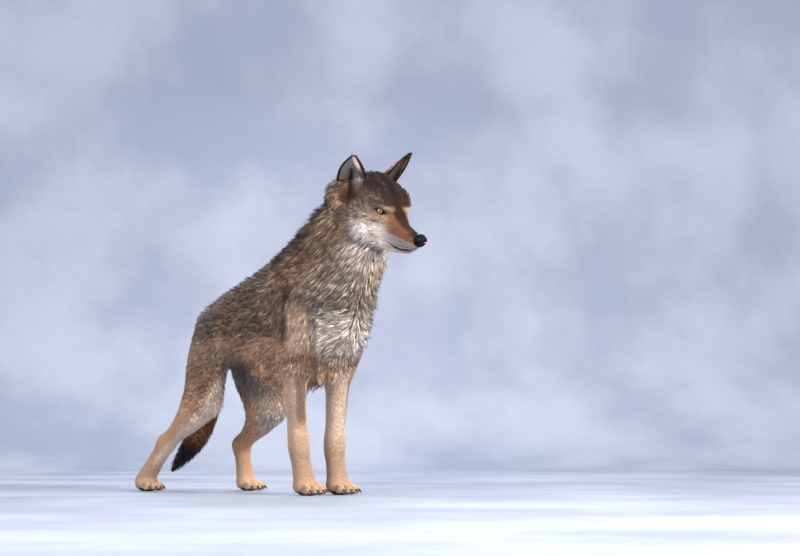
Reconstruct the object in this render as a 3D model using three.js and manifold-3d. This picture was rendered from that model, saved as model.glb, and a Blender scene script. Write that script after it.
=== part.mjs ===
// Grey wolf, standing, life size. Millimetres, +X forward, +Y to the wolf's left, +Z up, floor at z = 0.
// Every form is either a limb (stations along a spine, each with its own section) or a lump (an ellipsoid).
// Neighbouring forms swell into each other, are joined, and the whole is parted again by thin cuts.
import * as THREE from "three";
import { mergeVertices } from "three/addons/utils/BufferGeometryUtils.js";
import Module from "manifold-3d";

const wasm = await Module();
wasm.setup();

// ---- Driving dimensions -------------------------------------------------------------------------
const GAP = 0.3; // between neighbouring solids
const TORSO_AROUND = 20; // sides of a torso section
const TORSO_RINGS = 20; // torso sections, rump to nape
const RAY_REACH = 290; // longest ray cast from the torso's or the head's middle line
const RAY_STEP = 5;
const THIGH_AROUND = 12; // sides of a thigh section
const LEG_AROUND = 10; // sides of a leg section
const PALM_AROUND = 8; // sides of a paw's pad
const TOE_AROUND = 8; // sides of a toe
const EYE_AROUND = 10; // sides of an eyeball, its lids or the nose
const TAIL_AROUND = 10; // sides of a tail section
const HEAD_AROUND = 20; // sides of a head section
const HEAD_STEP = 15; // distance between head sections
const MAX_FILLET = 16; // most that a surface moves out to blend with its neighbour
const HIDDEN = 2; // a point this deep inside a neighbour isn't moved
const CORE = 0.05; // share of a form's size within which its depth is taken as even

// A station: x, y, z, half width, half size to the front or top, half size to the back or underside.
const TRUNK = [
  [-558, 0, 494, 28, 30, 50],
  [-530, 0, 512, 56, 64, 90],
  [-490, 0, 520, 80, 102, 115],
  [-445, 0, 520, 100, 134, 120],
  [-380, 0, 520, 106, 152, 130],
  [-290, 0, 518, 112, 190, 145],
  [-200, 0, 520, 120, 215, 165],
  [-100, 0, 525, 124, 225, 178],
  [-10, 0, 530, 120, 220, 172],
  [60, 0, 530, 108, 180, 155],
  [120, 0, 530, 80, 110, 110],
];
const NECK = [
  [-130, 0, 590, 112, 135, 130],
  [-40, 0, 650, 120, 152, 195],
  [40, 0, 710, 122, 152, 216],
  [110, 0, 770, 116, 138, 205],
  [165, 0, 820, 104, 100, 156],
];
// The line that the torso's sections are square to, from the rump up into the neck.
const TORSO_LINE = [
  [-545, 0, 498],
  [-400, 0, 520],
  [-230, 0, 530],
  [-100, 0, 565],
  [10, 0, 640],
  [100, 0, 735],
  [168, 0, 815],
];
const TAIL = [
  [-512, 0, 540, 28, 28, 28],
  [-560, 0, 512, 37, 39, 39],
  [-628, 5, 400, 43, 45, 45],
  [-635, 15, 280, 48, 52, 52],
  [-665, 0, 180, 44, 46, 46],
  [-710, -30, 105, 28, 28, 28],
  [-735, -50, 65, 8, 8, 8],
];

// Legs: joints as points, each side on its own, because the wolf stands with its hind legs apart.
const SIDES = ["right", "left"];
const sign = (side) => (side === "left" ? 1 : -1);
const FORELEG = {
  right: { top: [-40, -82, 400], wrist: [-30, -68, 145], foot: [-10, -62, 30] },
  left: { top: [-30, 86, 400], wrist: [-30, 68, 145], foot: [-8, 62, 30] },
};
const HINDLEG = {
  right: { hip: [-520, -62, 490], knee: [-455, -110, 285], hock: [-642, -138, 150], foot: [-728, -162, 35] },
  left: { hip: [-520, 62, 490], knee: [-390, 100, 270], hock: [-580, 115, 145], foot: [-562, 120, 35] },
};
const FORE_PAW_SCALE = 1;
const HIND_PAW_SCALE = 0.92;

// Head: its own frame, x forward, y left, z up, with the origin midway between the two corneas.
const HEAD_PLACE = [323, 0, 832];
const HEAD_YAW = 4; // degrees, towards its left
const HEAD_PITCH = 20; // nose down
const HEAD_ROLL = 4; // left side up
const HEAD_BACK = -172;
const HEAD_FRONT = 154;
const HEAD_AXIS = { from: -20, to: 90, high: -12, low: -56 }; // its middle line sinks towards the nose
const SKULL = [
  [-128, 0, -2, 74, 84, 88],
  [-95, 0, 0, 84, 96, 92],
  [-62, 0, -8, 80, 94, 85],
  [-35, 0, -17, 72, 84, 75],
  [-12, 0, -27, 61, 69, 66],
  [10, 0, -36, 54, 58, 58],
  [35, 0, -42, 43, 45, 50],
  [60, 0, -48, 33, 32, 45],
  [100, 0, -53, 26, 25, 38],
  [126, 0, -55, 21, 20, 26],
  [134, 0, -54, 15, 15, 16],
];
const JAW = [
  [-50, 0, -98, 44, 30, 30],
  [0, 0, -96, 36, 22, 24],
  [50, 0, -97, 26, 14, 16],
  [95, 0, -91, 18, 10, 10],
  [111, 0, -86, 12, 8, 8],
];
// Lumps of the head on either side: centre, half sizes and how far each blends.
const CHEEK = { at: [-70, 54, -45], half: [66, 58, 64], blend: 40 };
const CHEEKBONE = { at: [-38, 48, -20], half: [36, 20, 22], blend: 25 };
const BROW = { at: [-3, 39, 17], half: [28, 25, 13], blend: 24 };
const TEMPLE = { at: [-26, 44, 34], half: [46, 30, 32], blend: 30 };
const EAR_ROOT = { at: [-122, 62, 24], half: [34, 26, 40], blend: 30 };
const MOUTH_LINE = [[140, -80], [118, -86], [85, -92.5], [50, -91], [22, -84], [8, -92], [14, -112]];
// The rest of the block that parts the jaw.
const JAW_CUT = { front: 140, bottom: -160, back: 48, halfWidth: 60 };
const NOSE = { at: [139, 0, -50], half: [15, 20, 18.5] };
const NOSTRIL = { at: [151, 10, -50], half: [6, 4.5, 3.6], around: 6 };
const EYE = { at: [-8, 39, 0], radius: 12.5, gaze: 40 };
const LID = { radius: 14.2, slit: [24, 14.5, 6], sunk: 2 };
const SOCKET = { ahead: 17, half: [12, 18, 10], blend: 8 };

// Ears: a cupped leaf from base to tip. Rows: share of the length, half width, depth of the cup.
const EAR = {
  right: { base: [-122, -66, 48], tip: [-90, -104, 144], turn: 38 },
  left: { base: [-122, 73, 48], tip: [-88, 119, 160], turn: 14 },
};
const EAR_ROWS = [
  [-0.14, 38, 26],
  [0, 44, 30],
  [0.13, 44.5, 29],
  [0.26, 43, 26.5],
  [0.4, 41, 24.5],
  [0.54, 36.5, 21],
  [0.67, 29.5, 16.5],
  [0.8, 21, 11.5],
  [0.9, 13, 7.5],
  [0.97, 6.5, 4.5],
];
const EAR_THICKNESS = 6;
const EAR_ACROSS = 7;

const COAT = new THREE.MeshStandardMaterial({ color: 0x7d6b55, roughness: 0.95, metalness: 0 });
const PALE_COAT = new THREE.MeshStandardMaterial({ color: 0xb08a5f, roughness: 0.95, metalness: 0 });
const DARK_COAT = new THREE.MeshStandardMaterial({ color: 0x5a4330, roughness: 0.95, metalness: 0 });
const LEATHER = new THREE.MeshStandardMaterial({ color: 0x14151a, roughness: 0.4, metalness: 0 });
const IRIS = new THREE.MeshStandardMaterial({ color: 0xc89a4a, roughness: 0.1, metalness: 0 });
const HORN = new THREE.MeshStandardMaterial({ color: 0x2a2420, roughness: 0.5, metalness: 0 });

// ---- Small helpers --------------------------------------------------------------------------------
const vec = (a) => new THREE.Vector3(a[0], a[1], a[2]);
const mix = (a, b, t) => a.map((v, i) => v + (b[i] - v) * t);
const radians = (degrees) => (degrees * Math.PI) / 180;
const clamp = (v, low, high) => Math.min(Math.max(v, low), high);

const headTurn = new THREE.Matrix4().makeRotationFromEuler(
  new THREE.Euler(radians(HEAD_ROLL), radians(HEAD_PITCH), radians(HEAD_YAW), "ZYX"),
);
const headFrame = headTurn.clone().setPosition(...HEAD_PLACE);
const fromHead = (a) => vec(a).applyMatrix4(headFrame).toArray();
const headDirection = (a) => vec(a).applyMatrix4(headTurn);
const headStation = (row) => [...fromHead(row.slice(0, 3)), ...row.slice(3)];

// A smooth curve through the rows, with every column of a row carried along.
function smooth(rows, steps) {
  const first = rows[0].map((v, i) => 2 * v - rows[1][i]);
  const last = rows.at(-1).map((v, i) => 2 * v - rows.at(-2)[i]);
  const all = [first, ...rows, last];
  const out = [];
  for (let i = 1; i < all.length - 2; i += 1) {
    for (let j = 0; j < steps; j += 1) {
      const t = j / steps;
      out.push(all[i].map((b, c) => {
        const [a, d, e] = [all[i - 1][c], all[i + 1][c], all[i + 2][c]];
        const [bend, twist] = [2 * a - 5 * b + 4 * d - e, 3 * b - a - 3 * d + e];
        return 0.5 * (2 * b + (d - a) * t + bend * t * t + twist * t ** 3);
      }));
    }
  }
  out.push(rows.at(-1));
  return out;
}

// The smaller or the larger of two distances, rounded off where they come within k of each other.
function softMin(a, b, k) {
  const h = Math.max(k - Math.abs(a - b), 0) / k;
  return Math.min(a, b) - h * h * k * 0.25;
}

const softMax = (a, b, k) => -softMin(-a, -b, k);

// ---- Forms ------------------------------------------------------------------------------------------
class Limb {
  // joint draws the rounded ends in between stations, so that a taper stays even.
  constructor(rows, { blend, side = vec([0, 1, 0]), power = 2, steps = 2, joint = 1 }) {
    Object.assign(this, { rows, side, blend, power, steps, joint });
    this.spine = this.frames(5);
  }

  // Centre, tangent, side and front axes, and the three half sizes, along the spine.
  frames(steps) {
    const rows = smooth(this.rows, steps);
    const centres = rows.map(vec);
    return rows.map((row, i) => {
      const ahead = centres[Math.min(i + 1, rows.length - 1)];
      const behind = centres[Math.max(i - 1, 0)];
      const along = ahead.clone().sub(behind).normalize();
      const across = this.side.clone().addScaledVector(along, -this.side.dot(along)).normalize();
      const front = along.clone().cross(across);
      return { centre: centres[i], along, across, front, size: row.slice(3) };
    });
  }

  distance(p) {
    let best = Infinity;
    for (let i = 0; i < this.spine.length - 1; i += 1) {
      const [a, b] = [this.spine[i], this.spine[i + 1]];
      const step = b.centre.clone().sub(a.centre);
      const run = p.clone().sub(a.centre).dot(step) / step.lengthSq();
      const t = clamp(run, 0, 1);
      const q = p.clone().sub(a.centre).addScaledVector(step, -t);
      const [w, u, d] = mix(a.size, b.size, t);
      const y = q.dot(a.front) * (1 - t) + q.dot(b.front) * t;
      const x = q.dot(a.across) * (1 - t) + q.dot(b.across) * t;
      const z = q.dot(a.along) * (1 - t) + q.dot(b.along) * t;
      const h = y > 0 ? u : d;
      const inner = (run < 0 && i > 0) || (run > 1 && i < this.spine.length - 2);
      const cap = Math.min(w, h) * (inner ? this.joint : 1);
      const ring = Math.abs(x / w) ** this.power + Math.abs(y / h) ** this.power;
      const r = Math.sqrt(ring ** (2 / this.power) + (z / cap) ** 2);
      best = Math.min(best, r < CORE ? -cap : q.length() * (1 - 1 / r));
    }
    return best;
  }

  // Closed surface: a ring of points at each station and a rounded end at either side.
  mesh(around) {
    const spine = this.frames(this.steps);
    const rings = spine.map((s) => this.ring(s, around, 1, 0));
    const ends = [[0.72, 0.7]];
    const [tail, nose] = [spine[0], spine.at(-1)];
    for (const [out, size] of ends) {
      rings.unshift(this.ring(tail, around, size, -out));
      rings.push(this.ring(nose, around, size, out));
    }
    const pole = (s, way) => s.centre.clone().addScaledVector(s.along, way * Math.min(...s.size));
    return skin(rings, pole(tail, -1), pole(nose, 1));
  }

  ring({ centre, along, across, front, size }, around, scale, out) {
    const [w, u, d] = size;
    return Array.from({ length: around }, (_, i) => {
      const angle = (2 * Math.PI * i) / around;
      const [c, s] = [Math.cos(angle), Math.sin(angle)];
      const round = (Math.abs(c) ** this.power + Math.abs(s) ** this.power) ** (-1 / this.power);
      return centre.clone()
        .addScaledVector(across, w * c * round * scale)
        .addScaledVector(front, (s > 0 ? u : d) * s * round * scale)
        .addScaledVector(along, out * Math.min(w, u, d));
    });
  }
}

class Lump {
  constructor(at, half, { blend, turn = new THREE.Matrix4() }) {
    Object.assign(this, { at: vec(at), half, blend, turn });
    this.back = turn.clone().invert();
  }

  distance(p) {
    const q = p.clone().sub(this.at).applyMatrix4(this.back);
    const r = Math.hypot(q.x / this.half[0], q.y / this.half[1], q.z / this.half[2]);
    return r < CORE ? -Math.min(...this.half) : q.length() * (1 - 1 / r);
  }

  mesh(around, extra = 0) {
    const ball = new THREE.SphereGeometry(1, around, Math.round(around / 2));
    ball.scale(...this.half.map((v) => v + extra));
    ball.applyMatrix4(this.turn);
    return ball.translate(...this.at.toArray());
  }
}

// A closed surface through rings of equal length, from one pole to the other.
function skin(rings, start, end) {
  const n = rings[0].length;
  const points = [...rings.flat(), start, end];
  const faces = [];
  for (let r = 0; r < rings.length - 1; r += 1) {
    for (let i = 0; i < n; i += 1) {
      const [a, b] = [r * n + i, r * n + ((i + 1) % n)];
      faces.push(a, b, b + n, a, b + n, a + n);
    }
  }
  const last = (rings.length - 1) * n;
  for (let i = 0; i < n; i += 1) {
    const j = (i + 1) % n;
    faces.push(points.length - 2, j, i, last + i, last + j, points.length - 1);
  }
  return outward(points, faces);
}

// A geometry from points and faces, with the faces turned outward.
function outward(points, faces) {
  let volume = 0;
  for (let i = 0; i < faces.length; i += 3) {
    const [a, b, c] = [points[faces[i]], points[faces[i + 1]], points[faces[i + 2]]];
    volume += a.dot(b.clone().cross(c));
  }
  const index = volume > 0 ? faces : faces.slice().reverse();
  const shape = new THREE.BufferGeometry();
  shape.setAttribute("position", new THREE.Float32BufferAttribute(points.flatMap((p) => p.toArray()), 3));
  return shape.setIndex(index);
}

// ---- Solids -----------------------------------------------------------------------------------------
function solid(geometry) {
  const bare = geometry.clone();
  bare.deleteAttribute("normal");
  bare.deleteAttribute("uv");
  const merged = mergeVertices(bare, 1e-4);
  return new wasm.Manifold(new wasm.Mesh({
    numProp: 3,
    vertProperties: new Float32Array(merged.attributes.position.array),
    triVerts: new Uint32Array(merged.index.array),
  }));
}

function geometryOf(body) {
  const mesh = body.getMesh();
  const shape = new THREE.BufferGeometry();
  shape.setAttribute("position", new THREE.Float32BufferAttribute(mesh.vertProperties, 3));
  shape.setIndex(new THREE.BufferAttribute(new Uint32Array(mesh.triVerts), 1));
  return shape;
}

// The same surface moved out by a distance, measured square to every face that meets at a point.
function grown(geometry, by) {
  const bare = geometry.clone();
  bare.deleteAttribute("normal");
  bare.deleteAttribute("uv");
  const shape = mergeVertices(bare, 1e-4);
  const { position } = shape.attributes;
  const point = (i) => new THREE.Vector3().fromBufferAttribute(position, i);
  const normals = Array.from({ length: position.count }, () => []);
  const index = shape.index.array;
  for (let i = 0; i < index.length; i += 3) {
    const corners = [index[i], index[i + 1], index[i + 2]];
    const face = new THREE.Triangle(...corners.map(point));
    corners.forEach((corner) => normals[corner].push(face.getNormal(new THREE.Vector3())));
  }
  const moved = normals.map((faces, i) => {
    const way = faces.reduce((sum, n) => sum.add(n), new THREE.Vector3()).normalize();
    const slant = Math.max(Math.min(...faces.map((n) => n.dot(way))), 0.3);
    return point(i).addScaledVector(way, by / slant);
  });
  moved.forEach((p, i) => position.setXYZ(i, p.x, p.y, p.z));
  return shape;
}

// ---- The wolf's forms -------------------------------------------------------------------------------
const trunk = new Limb(TRUNK, { blend: 50 });
const neck = new Limb(NECK, { blend: 60 });
const tail = new Limb(TAIL, { blend: 12 });

function shoulder(side) {
  const s = sign(side);
  return new Limb([
    [-90, 55 * s, 640, 50, 70, 75],
    [-20, 80 * s, 560, 55, 80, 85],
    [0, 85 * s, 480, 52, 75, 85],
    [-30, 85 * s, 400, 48, 58, 62],
  ], { blend: 50 });
}

function foreleg(side) {
  const { top, wrist, foot } = FORELEG[side];
  const toe = [foot[0], foot[1], foot[2] + 10];
  return new Limb([
    [...top, 40, 50, 55],
    [...mix(top, wrist, 0.3), 33, 43, 48],
    [...mix(top, wrist, 0.7), 29, 35, 38],
    [...wrist, 34, 37, 34],
    [...mix(wrist, foot, 0.4), 30, 31, 31],
    [...toe, 34, 36, 30],
  ], { blend: 35 });
}

function thigh(side) {
  const { hip, knee } = HINDLEG[side];
  return new Limb([
    [hip[0] + 10, hip[1], hip[2] + 50, 42, 75, 60],
    [...mix(hip, knee, 0.35), 56, 100, 98],
    [...knee, 50, 58, 118],
  ], { blend: 50, steps: 3 });
}

function shank(side) {
  const { knee, hock } = HINDLEG[side];
  return new Limb([
    [...knee, 46, 52, 90],
    [...mix(knee, hock, 0.35), 42, 48, 62],
    [...mix(knee, hock, 0.75), 28, 30, 36],
    [...hock, 27, 27, 32],
  ], { blend: 30 });
}

function metatarsus(side) {
  const { hock, foot } = HINDLEG[side];
  return new Limb([
    [...mix(hock, foot, -0.08), 24, 26, 28],
    [...hock, 27, 29, 30],
    [...mix(hock, foot, 0.5), 26, 29, 29],
    [...foot, 31, 32, 30],
  ], { blend: 20 });
}

// A paw: the pad behind and four toes side by side, the two in the middle further forward.
function paw([x, y], scale) {
  const palm = new Lump([x + 12 * scale, y, 22 * scale], [42, 38, 26].map((v) => v * scale), { blend: 20 });
  const toes = [-1.5, -0.5, 0.5, 1.5].map((place) => {
    const reach = 58 - 11 * (Math.abs(place) - 0.5);
    const at = [x + reach * scale, y + place * 18 * scale, 16 * scale];
    const turn = new THREE.Matrix4().makeRotationZ(radians(place * 5));
    return new Lump(at, [25, 12, 17].map((v) => v * scale), { blend: 5, turn });
  });
  return { palm, toes };
}

function claw(toe, scale, extra) {
  const length = 21 * scale + extra;
  const horn = new THREE.ConeGeometry(4.2 * scale + extra, length, 5, 1);
  horn.rotateZ(-Math.PI / 2);
  horn.translate(length / 2, 0, 0);
  horn.rotateY(radians(26));
  horn.translate(17 * scale - extra / 2, 0, 0);
  return horn.applyMatrix4(toe.turn).translate(...toe.at.toArray());
}

const headSide = headDirection([0, 1, 0]);
const skull = new Limb(SKULL.map(headStation), { blend: 30, side: headSide, power: 2.2, joint: 0.4 });
const jaw = new Limb(JAW.map(headStation), { blend: 18, side: headSide, joint: 0.4 });
const headLumps = SIDES.flatMap((side) => (
  [CHEEK, CHEEKBONE, BROW, TEMPLE, EAR_ROOT].map(({ at: [x, y, z], half, blend }) => (
    new Lump(fromHead([x, y * sign(side), z]), half, { blend, turn: headTurn })))));
const headForms = [skull, jaw, ...headLumps];

// Each eye's frame: x along its gaze, which turns outward from the head's x.
const eyeTurn = (side) => (
  headTurn.clone().multiply(new THREE.Matrix4().makeRotationZ(radians(EYE.gaze * sign(side)))));
const eyePlace = (side, ahead) => vec(fromHead([EYE.at[0], EYE.at[1] * sign(side), EYE.at[2]]))
  .addScaledVector(vec([1, 0, 0]).applyMatrix4(eyeTurn(side)), ahead).toArray();
const sockets = SIDES.map((side) => (
  new Lump(eyePlace(side, SOCKET.ahead), SOCKET.half, { blend: SOCKET.blend, turn: eyeTurn(side) })));

const shoulders = SIDES.map(shoulder);
const forelegs = SIDES.map(foreleg);
const thighs = SIDES.map(thigh);
const shanks = SIDES.map(shank);
const metatarsi = SIDES.map(metatarsus);
const forePaws = SIDES.map((side) => paw(FORELEG[side].foot, FORE_PAW_SCALE));
const hindPaws = SIDES.map((side) => paw([HINDLEG[side].foot[0] + 6, HINDLEG[side].foot[1]], HIND_PAW_SCALE));
const paws = [...forePaws, ...hindPaws];
const palms = paws.map((p) => p.palm);
const bodyForms = [trunk, neck, ...shoulders, ...forelegs, ...thighs, ...shanks, ...metatarsi, ...palms];
const allForms = [...bodyForms, ...headForms];

function blended(p, forms) {
  const [first, ...rest] = forms;
  const whole = rest.reduce((d, form) => softMin(d, form.distance(p), form.blend), first.distance(p));
  return sockets.reduce((d, socket) => softMax(d, -socket.distance(p), socket.blend), whole);
}

// Moves each point of a form out to the surface that all the forms share, so that they join in fillets.
// A point well inside one of the other forms is hidden, and stays where it is.
function settle(geometry, own, centreOf) {
  const { position } = geometry.attributes;
  const others = allForms.filter((form) => !own.includes(form));
  for (let i = 0; i < position.count; i += 1) {
    const p = new THREE.Vector3().fromBufferAttribute(position, i);
    if (others.some((form) => form.distance(p) < -HIDDEN)) continue;
    const way = p.clone().sub(centreOf(p)).normalize();
    const moved = p.clone();
    for (let step = 0; step < 5; step += 1) {
      moved.addScaledVector(way, -blended(moved, allForms));
    }
    if (moved.distanceTo(p) < MAX_FILLET) {
      position.setXYZ(i, moved.x, moved.y, moved.z);
    }
  }
  return geometry;
}

const nearest = (spots, p) => spots.reduce((a, b) => (b.distanceTo(p) < a.distanceTo(p) ? b : a));

function settledLimb(limb, around) {
  const middles = limb.spine.map(({ centre }) => centre);
  return settle(limb.mesh(around), [limb], (p) => nearest(middles, p));
}

// The outermost point of the blended forms along a ray.
function cast(origin, way, forms) {
  const inside = (far) => blended(origin.clone().addScaledVector(way, far), forms) < 0;
  let near = RAY_REACH;
  while (near > 0 && !inside(near)) near -= RAY_STEP;
  let far = near + RAY_STEP;
  for (let i = 0; i < 10; i += 1) {
    const middle = (near + far) / 2;
    [near, far] = inside(middle) ? [middle, far] : [near, middle];
  }
  return origin.clone().addScaledVector(way, near);
}

// A closed surface from rings of rays, each ring in the plane of its own across and up axes.
function castSkin(sections, forms, around) {
  const rings = sections.map(({ centre, across, up }) => (
    Array.from({ length: around }, (_, i) => {
      const angle = (2 * Math.PI * i) / around;
      const way = across.clone().multiplyScalar(Math.cos(angle)).addScaledVector(up, Math.sin(angle));
      return cast(centre, way, forms);
    })));
  const pole = ({ centre, across, up }, way) => (
    cast(centre, across.clone().cross(up).multiplyScalar(way), forms));
  const surface = skin(rings, pole(sections[0], -1), pole(sections.at(-1), 1));
  const middles = sections.map(({ centre }) => centre);
  return settle(surface, forms, (p) => nearest(middles, p));
}

function headMesh() {
  const across = headDirection([0, 1, 0]);
  const up = headDirection([0, 0, 1]);
  const sections = [];
  for (let x = HEAD_BACK + HEAD_STEP / 2; x < HEAD_FRONT - HEAD_STEP / 4; x += HEAD_STEP) {
    const drop = clamp((x - HEAD_AXIS.from) / (HEAD_AXIS.to - HEAD_AXIS.from), 0, 1);
    const z = HEAD_AXIS.high + (HEAD_AXIS.low - HEAD_AXIS.high) * drop;
    sections.push({ centre: vec(fromHead([x, 0, z])), across, up });
  }
  return castSkin(sections, headForms, HEAD_AROUND);
}

function torsoMesh() {
  const line = new THREE.CatmullRomCurve3(TORSO_LINE.map(vec));
  const across = vec([0, 1, 0]);
  const sections = Array.from({ length: TORSO_RINGS }, (_, i) => {
    const t = i / (TORSO_RINGS - 1);
    return { centre: line.getPointAt(t), across, up: line.getTangentAt(t).cross(across) };
  });
  return castSkin(sections, [trunk, neck, ...shoulders], TORSO_AROUND);
}

// An ear: at each row a crescent of points, back face and front face, closed at base and tip.
function earMesh(side) {
  const s = sign(side);
  const { base, tip, turn } = EAR[side];
  const angle = radians(turn);
  const across = headDirection([-s * Math.sin(angle), Math.cos(angle), 0]);
  const facing = headDirection([Math.cos(angle), s * Math.sin(angle), 0]);
  const points = [];
  for (const [share, half, depth] of EAR_ROWS) {
    const centre = vec(fromHead(mix(base, tip, share)));
    const thick = EAR_THICKNESS * (1 - 0.45 * Math.max(share, 0));
    const arc = (w, d, order) => order.map((i) => {
      const a = radians(-90 + (180 * i) / (EAR_ACROSS - 1));
      const [x, y] = [w * Math.sin(a), -d * Math.cos(a)];
      return centre.clone().addScaledVector(across, x).addScaledVector(facing, y);
    });
    const order = [...Array(EAR_ACROSS).keys()];
    points.push([...arc(half, depth, order), ...arc(half - thick * 0.8, depth - thick, order.reverse())]);
  }
  return crescentSkin(points);
}

function crescentSkin(rings) {
  const n = rings[0].length;
  const faces = [];
  for (let r = 0; r < rings.length - 1; r += 1) {
    for (let i = 0; i < n; i += 1) {
      const [a, b] = [r * n + i, r * n + ((i + 1) % n)];
      faces.push(a, b, b + n, a, b + n, a + n);
    }
  }
  const cap = (start, flip) => {
    for (let i = 0; i < n / 2 - 1; i += 1) {
      const [a, b, c, d] = [start + i, start + i + 1, start + n - 2 - i, start + n - 1 - i];
      faces.push(...(flip ? [a, b, c, a, c, d] : [a, c, b, a, d, c]));
    }
  };
  cap(0, false);
  cap((rings.length - 1) * n, true);
  return outward(rings.flat(), faces);
}

// The ball of an eye, of any radius, and the almond-shaped slit between the lids.
function eyeBall(side, radius) {
  const ball = new THREE.SphereGeometry(radius, EYE_AROUND, EYE_AROUND / 2 + 1);
  return ball.applyMatrix4(eyeTurn(side)).translate(...eyePlace(side, 0));
}
function eyeSlit(side) {
  const place = eyePlace(side, EYE.radius - LID.sunk);
  return new Lump(place, LID.slit, { blend: 1, turn: eyeTurn(side) }).mesh(EYE_AROUND);
}

// ---- Joining and parting ----------------------------------------------------------------------------
const flesh = [
  torsoMesh(),
  headMesh(),
  ...forelegs.map((limb) => settledLimb(limb, LEG_AROUND)),
  ...thighs.map((limb) => settledLimb(limb, THIGH_AROUND)),
  ...shanks.map((limb) => settledLimb(limb, LEG_AROUND)),
  ...metatarsi.map((limb) => settledLimb(limb, LEG_AROUND)),
  ...palms.map((palm) => palm.mesh(PALM_AROUND)),
  ...paws.flatMap((p) => p.toes.map((toe) => toe.mesh(TOE_AROUND))),
];
let body = flesh.map(solid).reduce((whole, next) => whole.add(next));

const group = new THREE.Group();
const pieces = [];
const keep = (name, shape, material) => pieces.push({ name, shape, material });

// Block with its lowest and highest corners given, turned about the Y axis through a point.
function block(low, high, tilt = 0, about = [0, 0, 0], extra = 0) {
  const size = high.map((v, i) => v - low[i] + 2 * extra);
  const middle = mix(low, high, 0.5);
  const box = new THREE.BoxGeometry(...size);
  box.translate(...middle.map((v, i) => v - about[i]));
  box.rotateY(radians(tilt));
  return solid(box.translate(...about));
}

// Takes what lies in a block off the body as a piece of its own, and leaves a thin gap round it.
function part(name, material, low, high, tilt, about) {
  keep(name, body.intersect(block(low, high, tilt, about)), material);
  body = body.subtract(block(low, high, tilt, about, GAP));
}

// Inserts: each is a piece of its own, and the flesh round it is cut back by the gap.
function insert(name, material, shape, hollow) {
  keep(name, shape, material);
  body = body.subtract(hollow);
}

const floor = block([-1000, -400, -100], [400, 400, 0]);
body = body.subtract(floor);

for (const side of SIDES) {
  body = body.add(solid(eyeBall(side, LID.radius))).subtract(solid(eyeSlit(side)));
  insert(`eye_${side}`, IRIS, solid(eyeBall(side, EYE.radius)), solid(eyeBall(side, EYE.radius + GAP)));
  const ear = earMesh(side);
  insert(`ear_${side}`, DARK_COAT, solid(ear), solid(grown(ear, GAP)));
}

const nose = new Lump(fromHead(NOSE.at), NOSE.half, { blend: 4, turn: headTurn });
const nostrils = SIDES.map((side) => {
  const [x, y, z] = NOSTRIL.at;
  const hole = new Lump(fromHead([x, y * sign(side), z]), NOSTRIL.half, { blend: 1, turn: headTurn });
  return solid(hole.mesh(NOSTRIL.around));
});
const nosePad = nostrils.reduce((pad, hole) => pad.subtract(hole), solid(nose.mesh(EYE_AROUND)));
insert("nose", LEATHER, nosePad, solid(nose.mesh(EYE_AROUND, GAP)));

const tailShape = settledLimb(tail, TAIL_AROUND);
const wholeTail = solid(tailShape);
const TAIL_TIP = [[-900, -200, -50], [-300, 200, 262]]; // the block that holds the tip
const tailSplit = block(...TAIL_TIP);
const tailSplitGrown = block(...TAIL_TIP, 0, [0, 0, 0], GAP);
body = body.subtract(solid(grown(tailShape, GAP)));
keep("tail_base", wholeTail.subtract(tailSplitGrown), COAT);
keep("tail_tip", wholeTail.intersect(tailSplit), DARK_COAT);

paws.forEach(({ toes }, i) => {
  const scale = i < 2 ? FORE_PAW_SCALE : HIND_PAW_SCALE;
  const limb = i < 2 ? "fore" : "hind";
  toes.forEach((toe, j) => {
    const hole = solid(claw(toe, scale, GAP));
    insert(`claw_${limb}_${SIDES[i % 2]}_${j + 1}`, HORN, solid(claw(toe, scale, 0)), hole);
  });
});

// Legs and trunk: each block is what its piece takes off the whole, the joints' heights being its edges.
part("paw_fore_right", PALE_COAT, [-70, -140, -5], [130, -2, 58]);
part("paw_fore_left", PALE_COAT, [-70, 2, -5], [130, 140, 58]);
part("forearm_right", PALE_COAT, [-130, -160, 30], [70, -2, 335]);
part("forearm_left", PALE_COAT, [-130, 2, 30], [70, 160, 335]);
part("upper_arm_right", COAT, [-125, -220, 300], [72, -52, 480]);
part("upper_arm_left", COAT, [-125, 52, 300], [72, 220, 480]);

part("paw_hind_right", PALE_COAT, [-860, -260, -5], [-630, -90, 60]);
part("paw_hind_left", PALE_COAT, [-680, 40, -5], [-420, 220, 60]);
part("metatarsus_right", PALE_COAT, [-860, -260, 30], [-655, -90, 140]);
part("metatarsus_left", PALE_COAT, [-680, 40, 30], [-530, 220, 132]);
part("shank_right", PALE_COAT, [-860, -280, 60], [-360, -30, 300]);
part("shank_left", PALE_COAT, [-680, 30, 60], [-300, 240, 285]);
part("thigh_right", COAT, [-660, -240, 260], [-352, -42, 462]);
part("thigh_left", COAT, [-660, 42, 260], [-318, 240, 462]);

// Head: everything ahead of a plane that runs down from behind the ears to the throat.
const NAPE = [140, 0, 880];
part("head_whole", COAT, [140, -300, 400], [700, 300, 1200], -34, NAPE);
part("neck", COAT, [-400, -300, 660], [700, 300, 1400], 32, [-110, 0, 742]);
part("pelvis", COAT, [-900, -300, 100], [-400, 300, 900]);
part("loin", COAT, [-600, -300, 100], [-190, 300, 900]);
keep("chest", body, COAT);

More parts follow.
